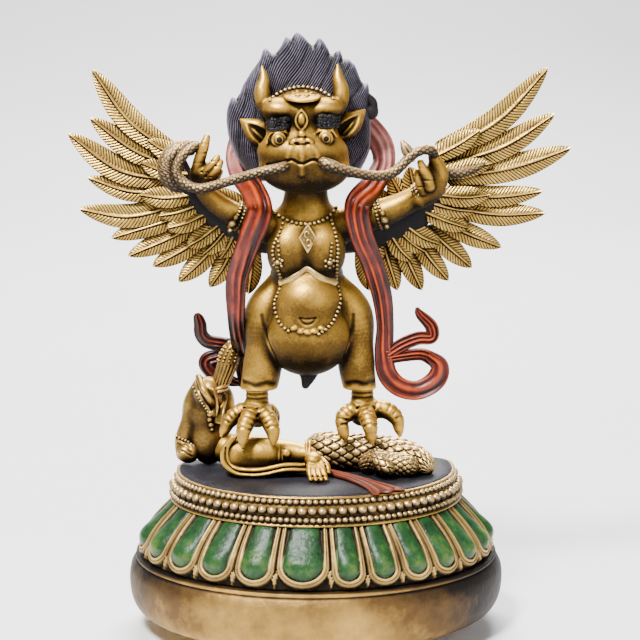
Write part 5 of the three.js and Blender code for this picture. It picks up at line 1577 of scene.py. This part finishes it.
def naga_arm():
    clay = Clay((-26, -8, -1), (7, 19, 11), cell=0.17)
    clay.limb([(-20.6, 13.4, 4, 3.6), (-12, 10.6, 3.4, 4), (-4, 9.8, 2.6, 2.9)])
    clay.limb([(-18.2, 5, 4.9, 3.7), (-14.2, 4.6, 4.8, 3.9), (-9.2, 4.4, 4.9, 3.3), (-5.6, 4, 5, 2.7),
               (-2.2, 2.8, 4.8, 2)])
    clay.limb([(-18.6, 4.2, 3.8, 3.2), (-13, 4, 2.6, 3), (-7.5, 4, 2.6, 2.4), (-3, 3.6, 2.6, 2)], soft=0.5)
    for lift, out in ((0, 0), (1.1, 0.9)):
        clay.limb([(x + (out if k < 3 else 0), y - 0.2, z + (lift if k >= 3 else 0.3 * lift), 0.55)
                   for k, (x, y, z) in enumerate(HEM)], soft=0.15)
    clay.limb([(x + 0.5, y - 0.6, z + 0.55, 0.2) for x, y, z in HEM[1:]], soft=0.2, cut=True)
    for x in (-8.9, -8.1, -2.6, -1.9):
        clay.limb(arc((x, 4.2, 4.9), (0, 0, 2.9), (0, -3, 0), 0.3, end=math.pi, number=9), soft=0.1)
    clay.ball((-7.2, 1.2, 5.6), (0.95, 0.6, 0.95), soft=0.15)
    clay.ball((-1.2, 1.2, 4.2), (2, 2.3, 1.6), soft=0.4)
    for k in range(4):
        spread = k - 1.5
        finger(clay, [(-0.8 + 0.75 * spread, 0.4, 3.8, 0.75), (-0.6 + 1.05 * spread, -2.2, 2.5, 0.7),
                      (-0.2 + 1.15 * spread, -4.4 + 0.3 * abs(spread), 0.8, 0.45)])
    finger(clay, [(0.8, 2, 4, 0.7), (2, 0, 3, 0.65), (2.2, -1.4, 1.8, 0.5)])
    clay.cut_below((-26, -8, -1), (7, 19, 2), GROUND)
    clay.piece("naga_arm", GOLD, "dark_gold")


def naga_tail():
    big = scaled_tube(TAIL, around=140, rows=420, pitch=1.7, depth=0.55, flat_below=GROUND)
    fine = scaled_tube(FRONT_COIL, around=110, rows=240, pitch=1.1, depth=0.36, flat_below=GROUND)
    lobe = scaled_tube(LOBE, around=80, rows=150, pitch=1.4, depth=0.3, flat_below=GROUND)
    points, faces, marks = joined_grids([big, fine, lobe])
    add_piece("naga_tail", points, faces, TAIL_GOLD, marks)


CLOTH = [(0.4, 5.4, 0.5, 1.1), (4, 2, 0.5, 1.3), (8, -2.6, 0.45, 1.6), (12, -8.4, 0.4, 2.6),
         (14.8, -13.4, 0.35, 4.2)]


def cloth():
    """The red cloth end that fans out on the plinth's top."""
    rows, columns = 110, 61
    path = spline(CLOTH, rows)
    along = directions(path)
    side = np.cross(along, [0, 0, 1.0])
    u = np.linspace(-1, 1, columns)
    t = np.linspace(0, 1, rows)[:, None]
    folds = np.cos(math.pi * 4 * u + 1.8 * np.sin(3 * t + 2 * u))
    edge = np.sqrt(np.clip(1 - np.abs(u) ** 8, 0, 1)) * np.sqrt(np.clip((1 - t) / 0.03, 0, 1))
    height = (0.5 + 0.17 * folds) * edge
    top = path[:, None, :3] + side[:, None] * (u[None, :] * path[:, 3:4])[..., None]
    top = top + along[:, None] * (0.5 * t * np.cos(math.pi * 2.5 * u))[..., None]
    bottom = top.copy()
    top[..., 2] += height
    bottom[..., 2] = GROUND
    # The relief mark rises on the folds' ridges: painted highlight on them and painted shade between them
    points, faces, relief = two_sided(top, bottom, 0.45 + 0.28 * folds * edge)
    add_piece("naga_cloth", to_metres(points), faces, CLOTH_RED, {"relief": relief})


def naga():
    naga_torso()
    topknot()
    naga_arm()
    naga_tail()
    cloth()


# Stage, in metres; a light is its name, place, size and watts
LIGHTS = [
    ("key", (-0.45, -0.7, 1.35), 0.3, 54),
    ("fill", (0.9, -1.1, 0.7), 0.9, 7),
    ("back", (0.1, 1.4, 1.7), 1.4, 130),
]
LIT_PLACE = Vector((0, 0, 0.17))
WORLD_STRENGTH = 0.16
FLOOR_SWEEP = [(-1.6, 0), (1.2, 0), (1.9, 0.12), (2.4, 0.6), (2.5, 2.6)]
FLOOR_ROWS = 60
FLOOR_HALF_WIDTH = 4


def stage():
    """A pale floor that sweeps up into a backdrop, and three soft lights."""
    path = spline([(y, z, 0) for y, z in FLOOR_SWEEP], FLOOR_ROWS)
    points = [(x, y, z) for y, z, _ in path for x in (-FLOOR_HALF_WIDTH, FLOOR_HALF_WIDTH)]
    mesh = bpy.data.meshes.new("floor")
    mesh.from_pydata(points, [], grid_faces(FLOOR_ROWS, 2).tolist())
    mesh.polygons.foreach_set("use_smooth", np.ones(len(mesh.polygons), bool))
    n = Nodes("pale floor")
    colour = n.ramp(n.noise(3, 2), [(0.3, (0.92, 0.92, 0.92)), (0.7, (0.95, 0.95, 0.95))])
    mesh.materials.append(n.finish(colour, 0.7, 0.0, [(n.noise(40, 2), 0.0002)]))
    floor = bpy.data.objects.new("floor", mesh)
    bpy.context.scene.collection.objects.link(floor)
    world = bpy.data.worlds.new("studio")
    world.use_nodes = True
    sky = world.node_tree.nodes["Background"]
    sky.inputs["Color"].default_value = (1, 1, 1, 1)
    sky.inputs["Strength"].default_value = WORLD_STRENGTH
    bpy.context.scene.world = world
    for name, place, size, power in LIGHTS:
        data = bpy.data.lights.new(name, "AREA")
        data.size = size
        data.energy = power
        light = bpy.data.objects.new(name, data)
        light.location = place
        light.rotation_euler = (LIT_PLACE - Vector(place)).to_track_quat("-Z", "Y").to_euler()
        bpy.context.scene.collection.objects.link(light)


add_camera()
plinth()
wing("left_wing_feathers", LEFT_FEATHERS, LEFT_COVERTS, "left_wing")
wing("right_wing_feathers", RIGHT_FEATHERS, RIGHT_COVERTS, "right_wing")
wing_arm("left_wing_arm", LEFT_WING_ARM)
wing_arm("right_wing_arm", RIGHT_WING_ARM)
hair()
head()
trunk()
arms()
foot("left_foot", (-13.6, 7, 14), LEFT_TOES)
foot("right_foot", (10.4, 7, 14), RIGHT_TOES)
snake()
scarf()
naga()
stage()
